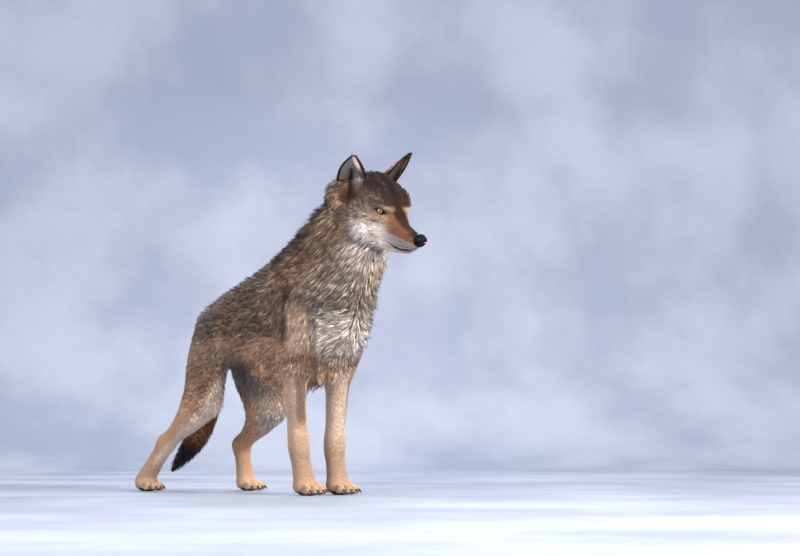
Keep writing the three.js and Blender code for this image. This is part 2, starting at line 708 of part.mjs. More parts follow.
// Lower jaw: what lies under the line of the mouth and ahead of the throat.
function jawBlock(extra) {
  const { front, bottom, back, halfWidth } = JAW_CUT;
  const corners = [...MOUTH_LINE, [back, bottom], [front, bottom]];
  const outline = new THREE.Shape(corners.map(([x, z]) => new THREE.Vector2(x, z)));
  const slab = new THREE.ExtrudeGeometry(outline, { depth: 2 * halfWidth, bevelEnabled: false });
  slab.rotateX(Math.PI / 2).translate(0, halfWidth, 0);
  return solid(grown(slab, extra).applyMatrix4(headFrame));
}
const wholeHead = pieces.find((piece) => piece.name === "head_whole");
keep("lower_jaw", wholeHead.shape.intersect(jawBlock(0)), PALE_COAT);
wholeHead.shape = wholeHead.shape.subtract(jawBlock(GAP));
wholeHead.name = "head";

// ---- The finished group, with its origin under the middle of its box --------------------------------
const meshes = pieces.map(({ name, shape, material }) => {
  const mesh = new THREE.Mesh(geometryOf(shape), material);
  mesh.name = name;
  return mesh;
});
const bounds = new THREE.Box3();
meshes.forEach((mesh) => bounds.expandByObject(mesh));
const centre = bounds.getCenter(new THREE.Vector3());
meshes.forEach((mesh) => {
  mesh.position.set(-centre.x, -centre.y, -bounds.min.z);
  group.add(mesh);
});

export default group;
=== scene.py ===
"""A grey wolf dressed in Blender: one skin, a coat of solid tufts, eyes, nose, claws and whiskers.

Sizes are millimetres, as in the part's source, from an origin on the floor between the forefeet.
`placed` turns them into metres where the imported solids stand.
"""
import itertools
import math
from concurrent.futures import ThreadPoolExecutor
from contextlib import contextmanager

import bmesh
import bpy
import numpy as np
from mathutils import Matrix, Vector
from mathutils.bvhtree import BVHTree
from mathutils.kdtree import KDTree


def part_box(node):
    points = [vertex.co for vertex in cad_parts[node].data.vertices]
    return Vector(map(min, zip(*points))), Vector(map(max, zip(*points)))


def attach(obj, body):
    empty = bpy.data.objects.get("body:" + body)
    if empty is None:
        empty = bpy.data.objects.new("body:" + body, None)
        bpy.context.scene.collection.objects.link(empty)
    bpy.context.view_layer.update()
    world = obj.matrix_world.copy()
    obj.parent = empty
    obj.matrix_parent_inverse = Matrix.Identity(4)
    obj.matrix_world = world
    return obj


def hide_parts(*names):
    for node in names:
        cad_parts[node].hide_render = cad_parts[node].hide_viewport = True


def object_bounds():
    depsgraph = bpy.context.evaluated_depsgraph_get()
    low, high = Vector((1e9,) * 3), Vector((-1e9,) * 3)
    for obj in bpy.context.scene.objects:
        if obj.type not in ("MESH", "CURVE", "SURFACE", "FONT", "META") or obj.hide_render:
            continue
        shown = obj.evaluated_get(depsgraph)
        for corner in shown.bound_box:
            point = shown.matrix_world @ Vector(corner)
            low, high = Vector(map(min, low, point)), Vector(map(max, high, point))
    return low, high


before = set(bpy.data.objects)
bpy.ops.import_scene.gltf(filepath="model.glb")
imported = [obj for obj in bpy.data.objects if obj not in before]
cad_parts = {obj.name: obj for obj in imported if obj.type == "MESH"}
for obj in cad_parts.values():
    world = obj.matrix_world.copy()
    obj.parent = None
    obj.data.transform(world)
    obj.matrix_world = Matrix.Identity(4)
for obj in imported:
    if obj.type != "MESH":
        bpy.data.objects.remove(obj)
CAD_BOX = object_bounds()
MM = 0.001
RNG = np.random.default_rng(41)
SIDES = {"right": -1, "left": 1}                   # the sign of Y on each side
CORNERS = list(itertools.product((0, 1), repeat=3))


# ---------------------------------------------------------------- small tools

def vec(*values):
    return np.array(values, float)


def unit(vectors):
    return vectors / np.maximum(np.linalg.norm(vectors, axis=-1, keepdims=True), 1e-9)


def soft(value, low, high):
    """A smooth step from 0 at low to 1 at high."""
    t = np.clip((value - low) / (high - low), 0, 1)
    return t * t * (3 - 2 * t)


def mix(a, b, share):
    return a + (b - a) * share


def turned(yaw=0.0, pitch=0.0, roll=0.0):
    """Axes forward, left and up as columns. A positive pitch dips the front."""
    y, p, r = np.radians([yaw, pitch, roll])
    about_z = vec(math.cos(y), -math.sin(y), 0, math.sin(y), math.cos(y), 0, 0, 0, 1).reshape(3, 3)
    about_y = vec(math.cos(p), 0, math.sin(p), 0, 1, 0, -math.sin(p), 0, math.cos(p)).reshape(3, 3)
    about_x = vec(1, 0, 0, 0, math.cos(r), -math.sin(r), 0, math.sin(r), math.cos(r)).reshape(3, 3)
    return about_z @ about_y @ about_x


def noise(points, size, seed=0):
    """Smooth noise from -1 to 1 with lumps of about the given size in millimetres."""
    cells = 32
    table = np.random.default_rng(seed).uniform(-1, 1, (cells, cells, cells))
    p = points / size + 1000.0
    i = np.floor(p).astype(int)
    f = p - i
    f = f * f * (3 - 2 * f)
    i %= cells
    j = (i + 1) % cells
    total = 0
    for a, b, c in CORNERS:
        x, y, z = ((j if on else i)[:, k] for k, on in enumerate((a, b, c)))
        share = (f[:, 0] if a else 1 - f[:, 0]) * (f[:, 1] if b else 1 - f[:, 1])
        total = total + table[x, y, z] * share * (f[:, 2] if c else 1 - f[:, 2])
    return total


# ---------------------------------------------------------------- the body's forms

FAR = 200.0                      # a form's distance where it isn't worked out
CORE = 0.05                      # the share of a form round its centre where distances level off


def smin(a, b, k):
    """The union of two fields, rounded over k where they meet."""
    h = np.maximum(k - np.abs(a - b), 0) / k
    return np.minimum(a, b) - h * h * k * 0.25


def smax(a, b, k):
    return -smin(-a, -b, k)


def ellipsoid(q, radii):
    """How far places are from an ellipsoid round the origin, and their share of the way out to it."""
    share = np.sqrt(((q / radii) ** 2).sum(1))
    return np.sqrt((q * q).sum(1)) * (1 - 1 / np.maximum(share, 1e-6)), share


def spline(rows, steps):
    """A smooth line through rows of numbers."""
    r = np.asarray(rows, float)
    e = np.vstack([2 * r[0] - r[1], r, 2 * r[-1] - r[-2]])
    out = []
    for i in range(len(r) - 1):
        a, b, c, d = e[i:i + 4]
        for t in np.arange(steps) / steps:
            out.append(0.5 * (2 * b + (c - a) * t + (2 * a - 5 * b + 4 * c - d) * t * t
                              + (3 * b - a - 3 * c + d) * t ** 3))
    return np.array(out + [r[-1]])


class Tube:
    """An egg-shaped section swept along a smooth line. Rows: x, y, z, half width, front, back, coat.

    Hair lies along the line, or with lie -1 against it. A joint under 1 draws in the rounding between
    stations.
    """

    def __init__(self, rows, blend, side=(0, 1, 0), power=2.0, lie=1, steps=4, joint=1.0):
        rows = spline(rows, steps)
        self.blend, self.power, self.joint = blend, power, joint
        self.centre, self.size, self.coat = rows[:, :3], rows[:, 3:6], rows[:, 6]
        self.along = unit(np.gradient(self.centre, axis=0))
        side = np.asarray(side, float)
        self.across = unit(side - (self.along @ side)[:, None] * self.along)
        self.up = np.cross(self.along, self.across)
        self.lie = self.along * lie
        reach = self.size.max() + 70
        self.low, self.high = self.centre.min(0) - reach, self.centre.max(0) + reach

    def distance(self, points, shrink, lie=None):
        """Distance to the tips of the coat, or with shrink 1 to the skin. Fills in the lie of the hair."""
        out = np.full(len(points), FAR)
        near = np.flatnonzero(np.all((points > self.low) & (points < self.high), axis=1))
        best = np.full(len(near), FAR)
        p = points[near]
        for i in range(len(self.centre) - 1):
            edge = self.centre[i + 1] - self.centre[i]
            run = (p - self.centre[i]) @ edge / (edge @ edge)
            w = np.clip(run, 0, 1)
            q = p - (self.centre[i] + w[:, None] * edge)
            n, m, t = ((a[i] + a[i + 1]) / 2 for a in (self.across, self.up, self.along))
            coat = shrink * mix(self.coat[i], self.coat[i + 1], w)
            wide, front, back = (mix(self.size[i, k], self.size[i + 1, k], w) - coat for k in range(3))
            x, y, z = q @ n, q @ m, q @ t
            tall = np.where(y > 0, front, back)
            cap = np.minimum(wide, tall)
            if self.joint < 1:       # so that a taper stays even
                inner = (run < 0) * (i > 0) | (run > 1) * (i < len(self.centre) - 2)
                cap = np.where(inner, cap * self.joint, cap)
            if self.power == 2:
                r = np.sqrt((x / wide) ** 2 + (y / tall) ** 2 + (z / cap) ** 2)
            else:
                around = np.abs(x / wide) ** self.power + np.abs(y / tall) ** self.power
                r = np.sqrt(around ** (2 / self.power) + (z / cap) ** 2)
            d = np.where(r < CORE, -cap, np.sqrt((q * q).sum(1)) * (1 - 1 / np.maximum(r, 1e-6)))
            closer = d < best
            best = np.where(closer, d, best)
            if lie is not None:
                lie[near[closer]] = self.lie[i]
        out[near] = best
        return out


class Lump:
    """An ellipsoid in axes of its own."""

    def __init__(self, centre, radii, coat, blend, axes=None, lie=None):
        self.centre, self.radii = np.asarray(centre, float), np.asarray(radii, float)
        self.coat, self.blend = coat, blend
        self.axes = np.eye(3) if axes is None else axes
        self.lie = self.axes[:, 0] if lie is None else np.asarray(lie, float)

    def distance(self, points, shrink, lie=None):
        out = np.full(len(points), FAR)
        q = points - self.centre
        near = np.all(np.abs(q) < self.radii.max() + 70, axis=1)
        q = q[near] @ self.axes
        radii = self.radii - shrink * self.coat
        away, share = ellipsoid(q, radii)
        out[near] = np.where(share < CORE, -radii.min(), away)
        if lie is not None:
            lie[near] = self.lie
        return out


# ---------------------------------------------------------------- the head's place and the eyes

HEAD_PLACE = vec(323, 0, 832)
HEAD_AXES = turned(yaw=4, pitch=20, roll=4)
EYE_RADIUS, LID_RADIUS = 12.5, 14.2
EYE_GAZE = 40.0                  # degrees outward of straight ahead


def head(*local):
    """A place in the head's own axes: forward, left and up from between the eyes."""
    return HEAD_PLACE + HEAD_AXES @ vec(*local)


def to_head(points):
    return (points - HEAD_PLACE) @ HEAD_AXES


def from_head(local):
    return HEAD_PLACE + local @ HEAD_AXES.T


def eye_place(s):
    return vec(-8, 39 * s, 0)


def gaze(s):
    """The eye's own axes in the head: outward, across and up."""
    a = math.radians(EYE_GAZE) * s
    ahead = vec(math.cos(a), math.sin(a), 0)
    return np.stack([ahead, vec(-math.sin(a), math.cos(a), 0), vec(0, 0, 1)], axis=1)


def eye_frame(local, s):
    """Places in the head's axes as seen from an eye: outward, across and up."""
    return (local - eye_place(s)) @ gaze(s)


SHIFT = np.mean([np.array(c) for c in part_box("eye_right")], axis=0) / MM - head(*eye_place(-1))
BOX_LOW, BOX_HIGH = (np.array(c) / MM - SHIFT for c in CAD_BOX)


def placed(points):
    return (np.asarray(points) + SHIFT) * MM


def within_box(points):
    """Keeps places 0.3 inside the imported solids' box, and so above the floor."""
    return np.clip(points, BOX_LOW + 0.3, BOX_HIGH - 0.3)


# ---------------------------------------------------------------- the forms, coat depth last

TRUNK = [
    (-558, 0, 494, 28, 30, 50, 20), (-530, 0, 512, 56, 64, 90, 25), (-490, 0, 520, 80, 102, 115, 30),
    (-445, 0, 520, 100, 134, 120, 30), (-380, 0, 520, 106, 152, 130, 30), (-290, 0, 518, 112, 190, 145, 35),
    (-200, 0, 520, 120, 215, 165, 35), (-100, 0, 525, 124, 225, 178, 40), (-10, 0, 530, 120, 220, 172, 40),
    (60, 0, 530, 108, 180, 155, 40), (120, 0, 530, 80, 110, 110, 40),
]
NECK = [
    (-130, 0, 590, 112, 135, 130, 45), (-40, 0, 650, 120, 152, 195, 50), (40, 0, 710, 122, 160, 216, 55),
    (110, 0, 770, 116, 150, 205, 50), (165, 0, 820, 104, 100, 156, 40),
]
TAIL = [
    (-512, 0, 540, 28, 28, 28, 12), (-560, 0, 512, 37, 39, 39, 14), (-628, 5, 400, 43, 45, 45, 16),
    (-635, 15, 280, 48, 52, 52, 20), (-665, 0, 180, 44, 46, 46, 20), (-710, -30, 105, 28, 28, 28, 15),
    (-735, -50, 65, 8, 8, 8, 4),
]
FORELEGS = {-1: ((-40, -82, 400), (-30, -68, 145), (-10, -62, 30)),
            1: ((-30, 86, 400), (-30, 68, 145), (-8, 62, 30))}
HINDLEGS = {-1: ((-520, -62, 490), (-455, -110, 285), (-642, -138, 150), (-728, -162, 35)),
            1: ((-520, 62, 490), (-390, 100, 270), (-580, 115, 145), (-562, 120, 35))}
SKULL = [
    (-128, 0, -2, 74, 86, 88, 14), (-95, 0, 0, 84, 100, 92, 14), (-62, 0, -8, 80, 98, 85, 13),
    (-35, 0, -17, 72, 84, 75, 10), (-12, 0, -27, 61, 69, 66, 7), (10, 0, -36, 54, 58, 58, 6),
    (35, 0, -42, 43, 45, 50, 6), (60, 0, -48, 33, 32, 45, 4), (100, 0, -53, 26, 25, 38, 3),
    (126, 0, -55, 21, 20, 26, 3), (134, 0, -54, 15, 15, 16, 2),
]
JAW = [
    (-50, 0, -98, 44, 30, 30, 14), (0, 0, -96, 36, 22, 24, 10), (50, 0, -97, 26, 14, 16, 6),
    (95, 0, -91, 18, 10, 10, 4), (111, 0, -86, 12, 8, 8, 3),
]
MOUTH_LINE = vec(22, -84, 50, -91, 85, -92.5, 118, -86, 140, -80).reshape(-1, 2)    # from its corner forward
MOUTH_TOP = -60                  # no lip is higher than this
NOSE, NOSE_RADII = vec(139, 0, -50), vec(15, 19, 17)
SOCKET_PLACE, SOCKET_HALF = vec(17, 0, 0), vec(12, 18, 10)     # in the eye's axes
EAR_HOLLOW = vec(58, 37, 33)     # half sizes along the ear's rise, across it and outward
# on both sides of the head: place, half sizes, coat, blend, lie
HEAD_LUMPS = {
    "cheek": ((-70, 54, -45), (66, 58, 64), 22, 40, (-0.8, 0.1, -0.6)),
    "cheekbone": ((-38, 48, -20), (36, 20, 22), 8, 25, (-0.9, 0.15, -0.2)),
    "brow": ((-3, 39, 17), (28, 25, 13), 4, 24, (-0.9, 0.15, 0.4)),
    "temple": ((-26, 44, 34), (46, 30, 32), 15, 30, (-0.9, 0.1, 0.4)),
    "ear_root": ((-122, 62, 24), (34, 26, 40), 12, 30, (-0.8, 0.2, -0.3)),
    "ruff": ((-165, 64, 6), (60, 50, 58), 32, 45, (-0.85, 0.25, -0.45)),
}
# hair that hangs below the trunk: centre, half sizes, coat, blend
HANGING = {
    "belly": ((-150, 0, 400), (185, 80, 98), 58, 40),
    "breast": ((15, 0, 425), (85, 75, 98), 50, 30),
}


def station(a, b, share):
    return vec(*a) + (vec(*b) - vec(*a)) * share


def foreleg(top, wrist, foot):
    rows = [
        (*top, 40, 50, 55, 8), (*station(top, wrist, 0.3), 33, 43, 48, 6),
        (*station(top, wrist, 0.7), 29, 35, 38, 5), (*wrist, 34, 37, 34, 4),
        (*station(wrist, foot, 0.4), 30, 31, 31, 4), (*(vec(*foot) + vec(0, 0, 10)), 34, 36, 30, 3),
    ]
    return [Tube(rows, 35)]


def hindleg(hip, knee, hock, foot):
    """Thigh, shank and metatarsus."""
    thigh = [(*(vec(*hip) + vec(10, 0, 50)), 42, 75, 60, 20), (*station(hip, knee, 0.35), 56, 100, 98, 20),
             (*knee, 50, 58, 118, 15)]
    shank = [(*knee, 46, 52, 90, 12), (*station(knee, hock, 0.35), 42, 48, 62, 10),
             (*station(knee, hock, 0.75), 28, 30, 36, 6), (*hock, 27, 27, 32, 5)]
    metatarsus = [(*station(hock, foot, -0.08), 24, 26, 28, 5), (*hock, 27, 29, 30, 5),
                  (*station(hock, foot, 0.5), 26, 29, 29, 4), (*foot, 31, 32, 30, 3)]
    return [Tube(thigh, 50), Tube(shank, 30), Tube(metatarsus, 20)]


def shoulder(s):
    """From the blade to the elbow, with the flesh on it."""
    return Tube([(-90, 55 * s, 640, 50, 70, 75, 20), (-20, 80 * s, 560, 55, 80, 85, 20),
                 (0, 85 * s, 480, 52, 75, 85, 20), (-30, 85 * s, 400, 48, 58, 62, 15)], 50)


TOES = (-1.5, -0.5, 0.5, 1.5)


def toe_place(foot, place, scale):
    ahead = 58 - 11 * (abs(place) - 0.5)
    return vec(foot[0] + ahead * scale, foot[1] + place * 18 * scale, 16 * scale)


def paw(foot, scale):
    lie = (0.9, 0, -0.45)
    forms = [Lump(vec(foot[0] + 12 * scale, foot[1], 22 * scale), vec(42, 38, 26) * scale, 3, 20, lie=lie)]
    for place in TOES:
        forms.append(Lump(toe_place(foot, place, scale), vec(25, 12, 17) * scale, 3, 5,
                          turned(yaw=place * 5), lie))
    return forms


def paws():
    """Each paw's foot place and scale."""
    for s in SIDES.values():
        yield "fore", s, FORELEGS[s][2], 1.0
        x, y, z = HINDLEGS[s][3]
        yield "hind", s, (x + 6, y, z), 0.92


def head_lump(place, radii, coat, blend, lie):
    return Lump(head(*place), radii, coat, blend, HEAD_AXES, HEAD_AXES @ unit(vec(*lie)))


def head_tube(rows, blend, power=2.0):
    rows = [(*head(*r[:3]), *r[3:]) for r in rows]
    return Tube(rows, blend, HEAD_AXES[:, 1], power, lie=-1, joint=0.4, steps=6)


class Ear:
    """A cupped blade from base to tip, whose hollow side faces outward by `turn` degrees."""
    # share of the way to the tip, half width, depth
    ROWS = vec(-.3, 26, 18, -.14, 38, 26, 0, 44, 30, .13, 44.5, 29, .26, 43, 26.5, .4, 41, 24.5,
               .54, 36.5, 21, .67, 29.5, 16.5, .8, 21, 11.5, .9, 13, 7.5, .97, 6.5, 4.5).reshape(-1, 3)
    COAT = 1.2
    RINGS, ACROSS = 40, 24
    WALL = 4.8                   # thickness at the base

    def __init__(self, s, base, tip, turn):
        turn = math.radians(turn)
        self.base = vec(*base)
        self.rise = vec(*tip) - self.base
        self.across = vec(-s * math.sin(turn), math.cos(turn), 0)
        self.facing = vec(math.cos(turn), s * math.sin(turn), 0)
        self.inverse = np.linalg.inv(np.stack([self.rise, self.across, self.facing], axis=1))
        self.side = s

    def local(self, points):
        """Share of the way to the tip, then millimetres across and towards the open side."""
        return (to_head(points) - self.base) @ self.inverse.T

    def section(self, share):
        """Half width and depth at a share of the way to the tip."""
        return (np.interp(share, self.ROWS[:, 0], self.ROWS[:, k]) for k in (1, 2))

    def mesh(self):
        shares = np.linspace(self.ROWS[0, 0], self.ROWS[-1, 0], self.RINGS)
        around = np.linspace(-math.pi / 2, math.pi / 2, self.ACROSS)
        points = []
        for share in shares:
            wide, deep = (half - self.COAT for half in self.section(share))
            thick = self.WALL - 2.2 * max(share, 0)
            for w, d, angles in ((wide, deep, around), (wide - thick, deep - thick, around[::-1])):
                for angle in angles:
                    local = (self.base + self.rise * share + self.across * w * math.sin(angle)
                             - self.facing * d * math.cos(angle))
                    points.append(head(*local))
        n = 2 * self.ACROSS
        faces = [(r * n + i, r * n + (i + 1) % n, (r + 1) * n + (i + 1) % n, (r + 1) * n + i)
                 for r in range(self.RINGS - 1) for i in range(n)]
        for r in (0, self.RINGS - 1):
            for i in range(self.ACROSS - 1):
                faces.append((r * n + i, r * n + i + 1, r * n + n - 2 - i, r * n + n - 1 - i))
        return np.array(points), faces


EARS = {-1: Ear(-1, (-122, -66, 48), (-90, -104, 144), 38), 1: Ear(1, (-122, 73, 48), (-88, 119, 160), 14)}


TAIL_FORM = Tube(TAIL, 12)


def forms():
    body = [Tube(TRUNK, 50, lie=-1, steps=6), Tube(NECK, 60, lie=-1, steps=8)]
    for s in SIDES.values():
        body += [shoulder(s), *foreleg(*FORELEGS[s]), *hindleg(*HINDLEGS[s])]
    for _, _, foot, scale in paws():
        body += paw(foot, scale)
    body.append(TAIL_FORM)
    body += [Lump(*lump, lie=unit(vec(-0.5, 0, -0.85))) for lump in HANGING.values()]
    body += [head_tube(SKULL, 30, 2.2), head_tube(JAW, 18)]
    for s in SIDES.values():
        side = vec(1, s, 1)
        for place, radii, coat, blend, lie in HEAD_LUMPS.values():
            body.append(head_lump(place * side, radii, coat, blend, lie * side))
    return body


FORMS = forms()


def sockets(points, d):
    """Hollows round the eyes and in the ears, and the lids that cover each ball."""
    local = to_head(points)
    for s in SIDES.values():
        q = eye_frame(local, s)
        near = np.flatnonzero((np.abs(q) < 40).all(1))
        q = q[near]
        away, _ = ellipsoid(q - SOCKET_PLACE, SOCKET_HALF)
        d[near] = smax(d[near], -away, 8)
        d[near] = smin(d[near], np.sqrt((q * q).sum(1)) - LID_RADIUS, 5)
    for ear in EARS.values():
        q = local - (ear.base + 0.15 * ear.rise + 12 * ear.facing)
        q = np.stack([q @ unit(ear.rise), q @ ear.across, q @ ear.facing], axis=1)
        near = np.flatnonzero((np.abs(q) < 60).all(1))
        away, _ = ellipsoid(q[near], EAR_HOLLOW)
        d[near] = smax(d[near], -away, 8)
    return d


def surface(points, shrink=1.0):
    """Distance to the skin, or with shrink 0 to the tips of the coat."""
    d = None
    for form in FORMS:
        part = form.distance(points, shrink)
        d = part if d is None else smin(d, part, form.blend)
    return sockets(points, d)


# ---------------------------------------------------------------- a surface from the field

BODY_STEP, SIDE_STEP, LEG_STEP, HEAD_STEP = 4.5, 3.0, 5.0, 2.4
COARSE = 4                       # fine cells to one coarse cell
HEAD_BACK, HEAD_FOOT, PAW_TOP = 190, 640, 60    # where the steps change
SLICE = 40000                    # places worked out by one thread at a time


def grid_axes():
    lo, hi = BOX_LOW - 8, BOX_HIGH + 8
    x = np.concatenate([np.arange(lo[0], HEAD_BACK, BODY_STEP), np.arange(HEAD_BACK, hi[0], HEAD_STEP)])
    y = np.arange(lo[1], hi[1], SIDE_STEP)
    z = np.concatenate([np.arange(lo[2], PAW_TOP, SIDE_STEP), np.arange(PAW_TOP, HEAD_FOOT, LEG_STEP),
                        np.arange(HEAD_FOOT, hi[2], HEAD_STEP)])
    return [a[:len(a) - (len(a) - 1) % COARSE] for a in (x, y, z)]


def lattice(axes):
    return np.stack(np.meshgrid(*axes, indexing="ij"), axis=-1).reshape(-1, 3)


def widened(values, axes, coarse_axes):
    """Coarse values carried linearly to the fine grid, one axis after another."""
    for k in range(3):
        i = np.clip(np.searchsorted(coarse_axes[k], axes[k], side="right") - 1, 0, len(coarse_axes[k]) - 2)
        w = (axes[k] - coarse_axes[k][i]) / (coarse_axes[k][i + 1] - coarse_axes[k][i])
        w = w.reshape([-1 if n == k else 1 for n in range(3)]).astype(np.float32)
        values = np.take(values, i, axis=k) * (1 - w) + np.take(values, i + 1, axis=k) * w
    return values


def over_threads(field, points):
    """The field at many points, worked out in slices on every core."""
    with ThreadPoolExecutor() as pool:
        return np.concatenate(list(pool.map(field, np.array_split(points, len(points) // SLICE + 1))))


def sampled(field):
    """The field on the fine grid: exact near the surface, carried over from coarse cells elsewhere."""
    axes = grid_axes()
    coarse = [a[::COARSE] for a in axes]
    rough = over_threads(field, lattice(coarse)).reshape([len(a) for a in coarse]).astype(np.float32)
    values = widened(rough, axes, coarse)
    least = np.abs(rough)
    for k in range(3):
        n = least.shape[k]
        least = np.minimum(np.take(least, range(n - 1), axis=k), np.take(least, range(1, n), axis=k))
    dx, dy, dz = np.meshgrid(*(np.diff(a) for a in coarse), indexing="ij", sparse=True)
    diagonal = np.sqrt(dx ** 2 + dy ** 2 + dz ** 2)
    cells = least < 0.8 * diagonal
    for k in range(3):
        cells = np.repeat(cells, COARSE, axis=k)
    wanted = np.zeros(values.shape, bool)
    wanted[:-1, :-1, :-1] = cells
    where = np.argwhere(wanted)
    points = np.stack([axes[k][where[:, k]] for k in range(3)], axis=1)
    values[tuple(where.T)] = over_threads(field, points)
    return axes, values


def nets(axes, values):
    """Surface nets: one vertex in each cell the surface crosses, one face round each crossed edge."""
    inside = values < 0
    n = [s - 1 for s in values.shape]
    count = np.zeros(n, np.int8)
    for a, b, c in CORNERS:
        count += inside[a:a + n[0], b:b + n[1], c:c + n[2]]
    cells = np.argwhere((count > 0) & (count < 8))
    index = np.full(n, -1, np.int32)
    index[tuple(cells.T)] = np.arange(len(cells))
    total, crossings = np.zeros((len(cells), 3)), np.zeros(len(cells))
    for corner in CORNERS:
        for axis in range(3):
            if corner[axis]:
                continue
            other = tuple(1 if k == axis else v for k, v in enumerate(corner))
            a, b = values[tuple((cells + corner).T)], values[tuple((cells + other).T)]
            crossed = (a < 0) != (b < 0)
            place = np.tile(np.array(corner, float), (len(cells), 1))
            place[:, axis] = a / np.where(crossed, a - b, 1)
            total[crossed] += place[crossed]
            crossings[crossed] += 1
    share = total / crossings[:, None]
    points = [axis[at] + part * np.diff(axis)[at] for axis, at, part in zip(axes, cells.T, share.T)]
    faces = []
    for axis in range(3):
        u, v = (axis + 1) % 3, (axis + 2) % 3
        near, far = [slice(1, -1)] * 3, [slice(1, -1)] * 3
        near[axis], far[axis] = slice(0, -1), slice(1, None)
        a, b = inside[tuple(near)], inside[tuple(far)]
        for flipped, crossed in ((False, a & ~b), (True, ~a & b)):
            base = np.argwhere(crossed)
            ring = []
            for du, dv in ((0, 0), (1, 0), (1, 1), (0, 1)):
                q = base.copy()
                q[:, u] += du
                q[:, v] += dv
                ring.append(index[tuple(q.T)])
            faces.append(np.stack(ring[::-1] if flipped else ring, axis=1))
    return np.stack(points, axis=1), np.vstack(faces)


class Guide:
    """Height above the skin and the way out, read off the sampled grid."""

    def __init__(self, axes, values):
        self.axes, self.values = axes, values

    def height(self, points):
        index, share = [], []
        for k, a in enumerate(self.axes):
            i = np.clip(np.searchsorted(a, points[:, k], side="right") - 1, 0, len(a) - 2)
            index.append(i)
            share.append(np.clip((points[:, k] - a[i]) / (a[i + 1] - a[i]), 0, 1))
        total = 0
        for corner in CORNERS:
            w = 1
            for k, on in enumerate(corner):
                w = w * (share[k] if on else 1 - share[k])
            total = total + w * self.values[tuple(i + on for i, on in zip(index, corner))]
        return total

    def out(self, points, step=3.0):
        slope = [self.height(points + step * e) - self.height(points - step * e) for e in np.eye(3)]
        return unit(np.stack(slope, axis=1))


# ---------------------------------------------------------------- meshes

def linked(name, data):
    piece = bpy.data.objects.new(name, data)
    bpy.context.scene.collection.objects.link(piece)
    return piece


def mesh_object(name, points, faces, material=None):
    mesh = bpy.data.meshes.new(name)
    mesh.from_pydata(placed(points).tolist(), [], [tuple(f) for f in faces])
    mesh.polygons.foreach_set("use_smooth", np.ones(len(mesh.polygons), bool))
    if material:
        mesh.materials.append(material)
    return linked(name, mesh)


@contextmanager
def opened(mesh):
    """A mesh open for editing, written back at the end."""
    work = bmesh.new()
    work.from_mesh(mesh)
    yield work
    work.to_mesh(mesh)
    work.free()


def fetched(items, name, width, kind=np.float32):
    """One property of all vertices, edges, loops or triangles, a row for each."""
    values = np.empty(width * len(items), kind)
    items.foreach_get(name, values)
    return values.reshape(-1, width)


def triangles_of(mesh, what="vertices"):
    mesh.calc_loop_triangles()
    return fetched(mesh.loop_triangles, what, 3, np.int32)


def attached(mesh, name, values):
    """Keeps a number for each vertex on the mesh."""
    layer = mesh.attributes.new(name, "FLOAT", "POINT")
    layer.data.foreach_set("value", values.astype(np.float32))


def painted(mesh, name, colours):
    """Keeps a colour for each vertex on the mesh."""
    layer = mesh.color_attributes.new(name, "FLOAT_COLOR", "POINT")
    filled = np.ones((len(mesh.vertices), 4), np.float32)
    filled[:, :3] = colours
    layer.data.foreach_set("color", filled.ravel())


def joined(piece, others):
    """The union of closed meshes, as one mesh on the first object."""
    for other in others:
        union = piece.modifiers.new("union", "BOOLEAN")
        union.operation, union.solver, union.object = "UNION", "EXACT", other
        mesh = bpy.data.meshes.new_from_object(piece.evaluated_get(bpy.context.evaluated_depsgraph_get()))
        piece.modifiers.clear()
        piece.data = mesh
        bpy.data.objects.remove(other)
    return piece


def read(mesh):
    """A mesh's points in the script's own millimetres, its edges and its normals."""
    points, normal = (fetched(mesh.vertices, what, 3) for what in ("co", "normal"))
    return points / MM - SHIFT, fetched(mesh.edges, "vertices", 2, np.int32), normal


def averaged(values, edges, share=1.0):
    """Each value moved towards the mean of its neighbours."""
    n = len(values)
    many = np.bincount(edges.ravel(), minlength=n)
    out = np.empty_like(values)
    for k in range(values.shape[1]):
        total = sum(np.bincount(here, values[there, k], n) for here, there in (edges.T, edges.T[::-1]))
        out[:, k] = total / np.maximum(many, 1)
    share = np.asarray(share).reshape(-1, 1)
    return values + (out - values) * share


# ---------------------------------------------------------------- the skin

def refined(piece):
    """More faces round the eyes and the mouth, where the folds are small."""
    for reach, with_mouth in ((28, True), (22, False)):
        local = to_head(read(piece.data)[0])
        near = np.zeros(len(local), bool)
        for s in SIDES.values():
            q = eye_frame(local, s)
            near |= (np.linalg.norm(q[:, 1:], axis=1) < reach) & (q[:, 0] > -4) & (q[:, 0] < 30)
        if with_mouth:
            near |= (local[:, 0] > 10) & (local[:, 2] < MOUTH_TOP) & (np.abs(mouth_gap(local)) < 9)
        with opened(piece.data) as work:
            work.verts.ensure_lookup_table()
            edges = [e for e in work.edges if near[e.verts[0].index] and near[e.verts[1].index]]
            bmesh.ops.subdivide_edges(work, edges=edges, cuts=1, use_grid_fill=True)


def mouth_gap(local):
    """Height above the line of the mouth, in the head's axes."""
    return local[:, 2] - np.interp(local[:, 0], *MOUTH_LINE.T)


def lips(local, middle, low, high):
    """1 along the mouth, fading between two distances from a line a little above it."""
    gap = np.abs(mouth_gap(local) - middle)
    return (1 - soft(gap, low, high)) * soft(local[:, 0], 8, 18) * (local[:, 2] < MOUTH_TOP)


SLIT_HALF, SLIT_HEIGHT, SLIT_TILT = 14.5, 6.0, 14.0      # the eye's opening, and its slant in degrees


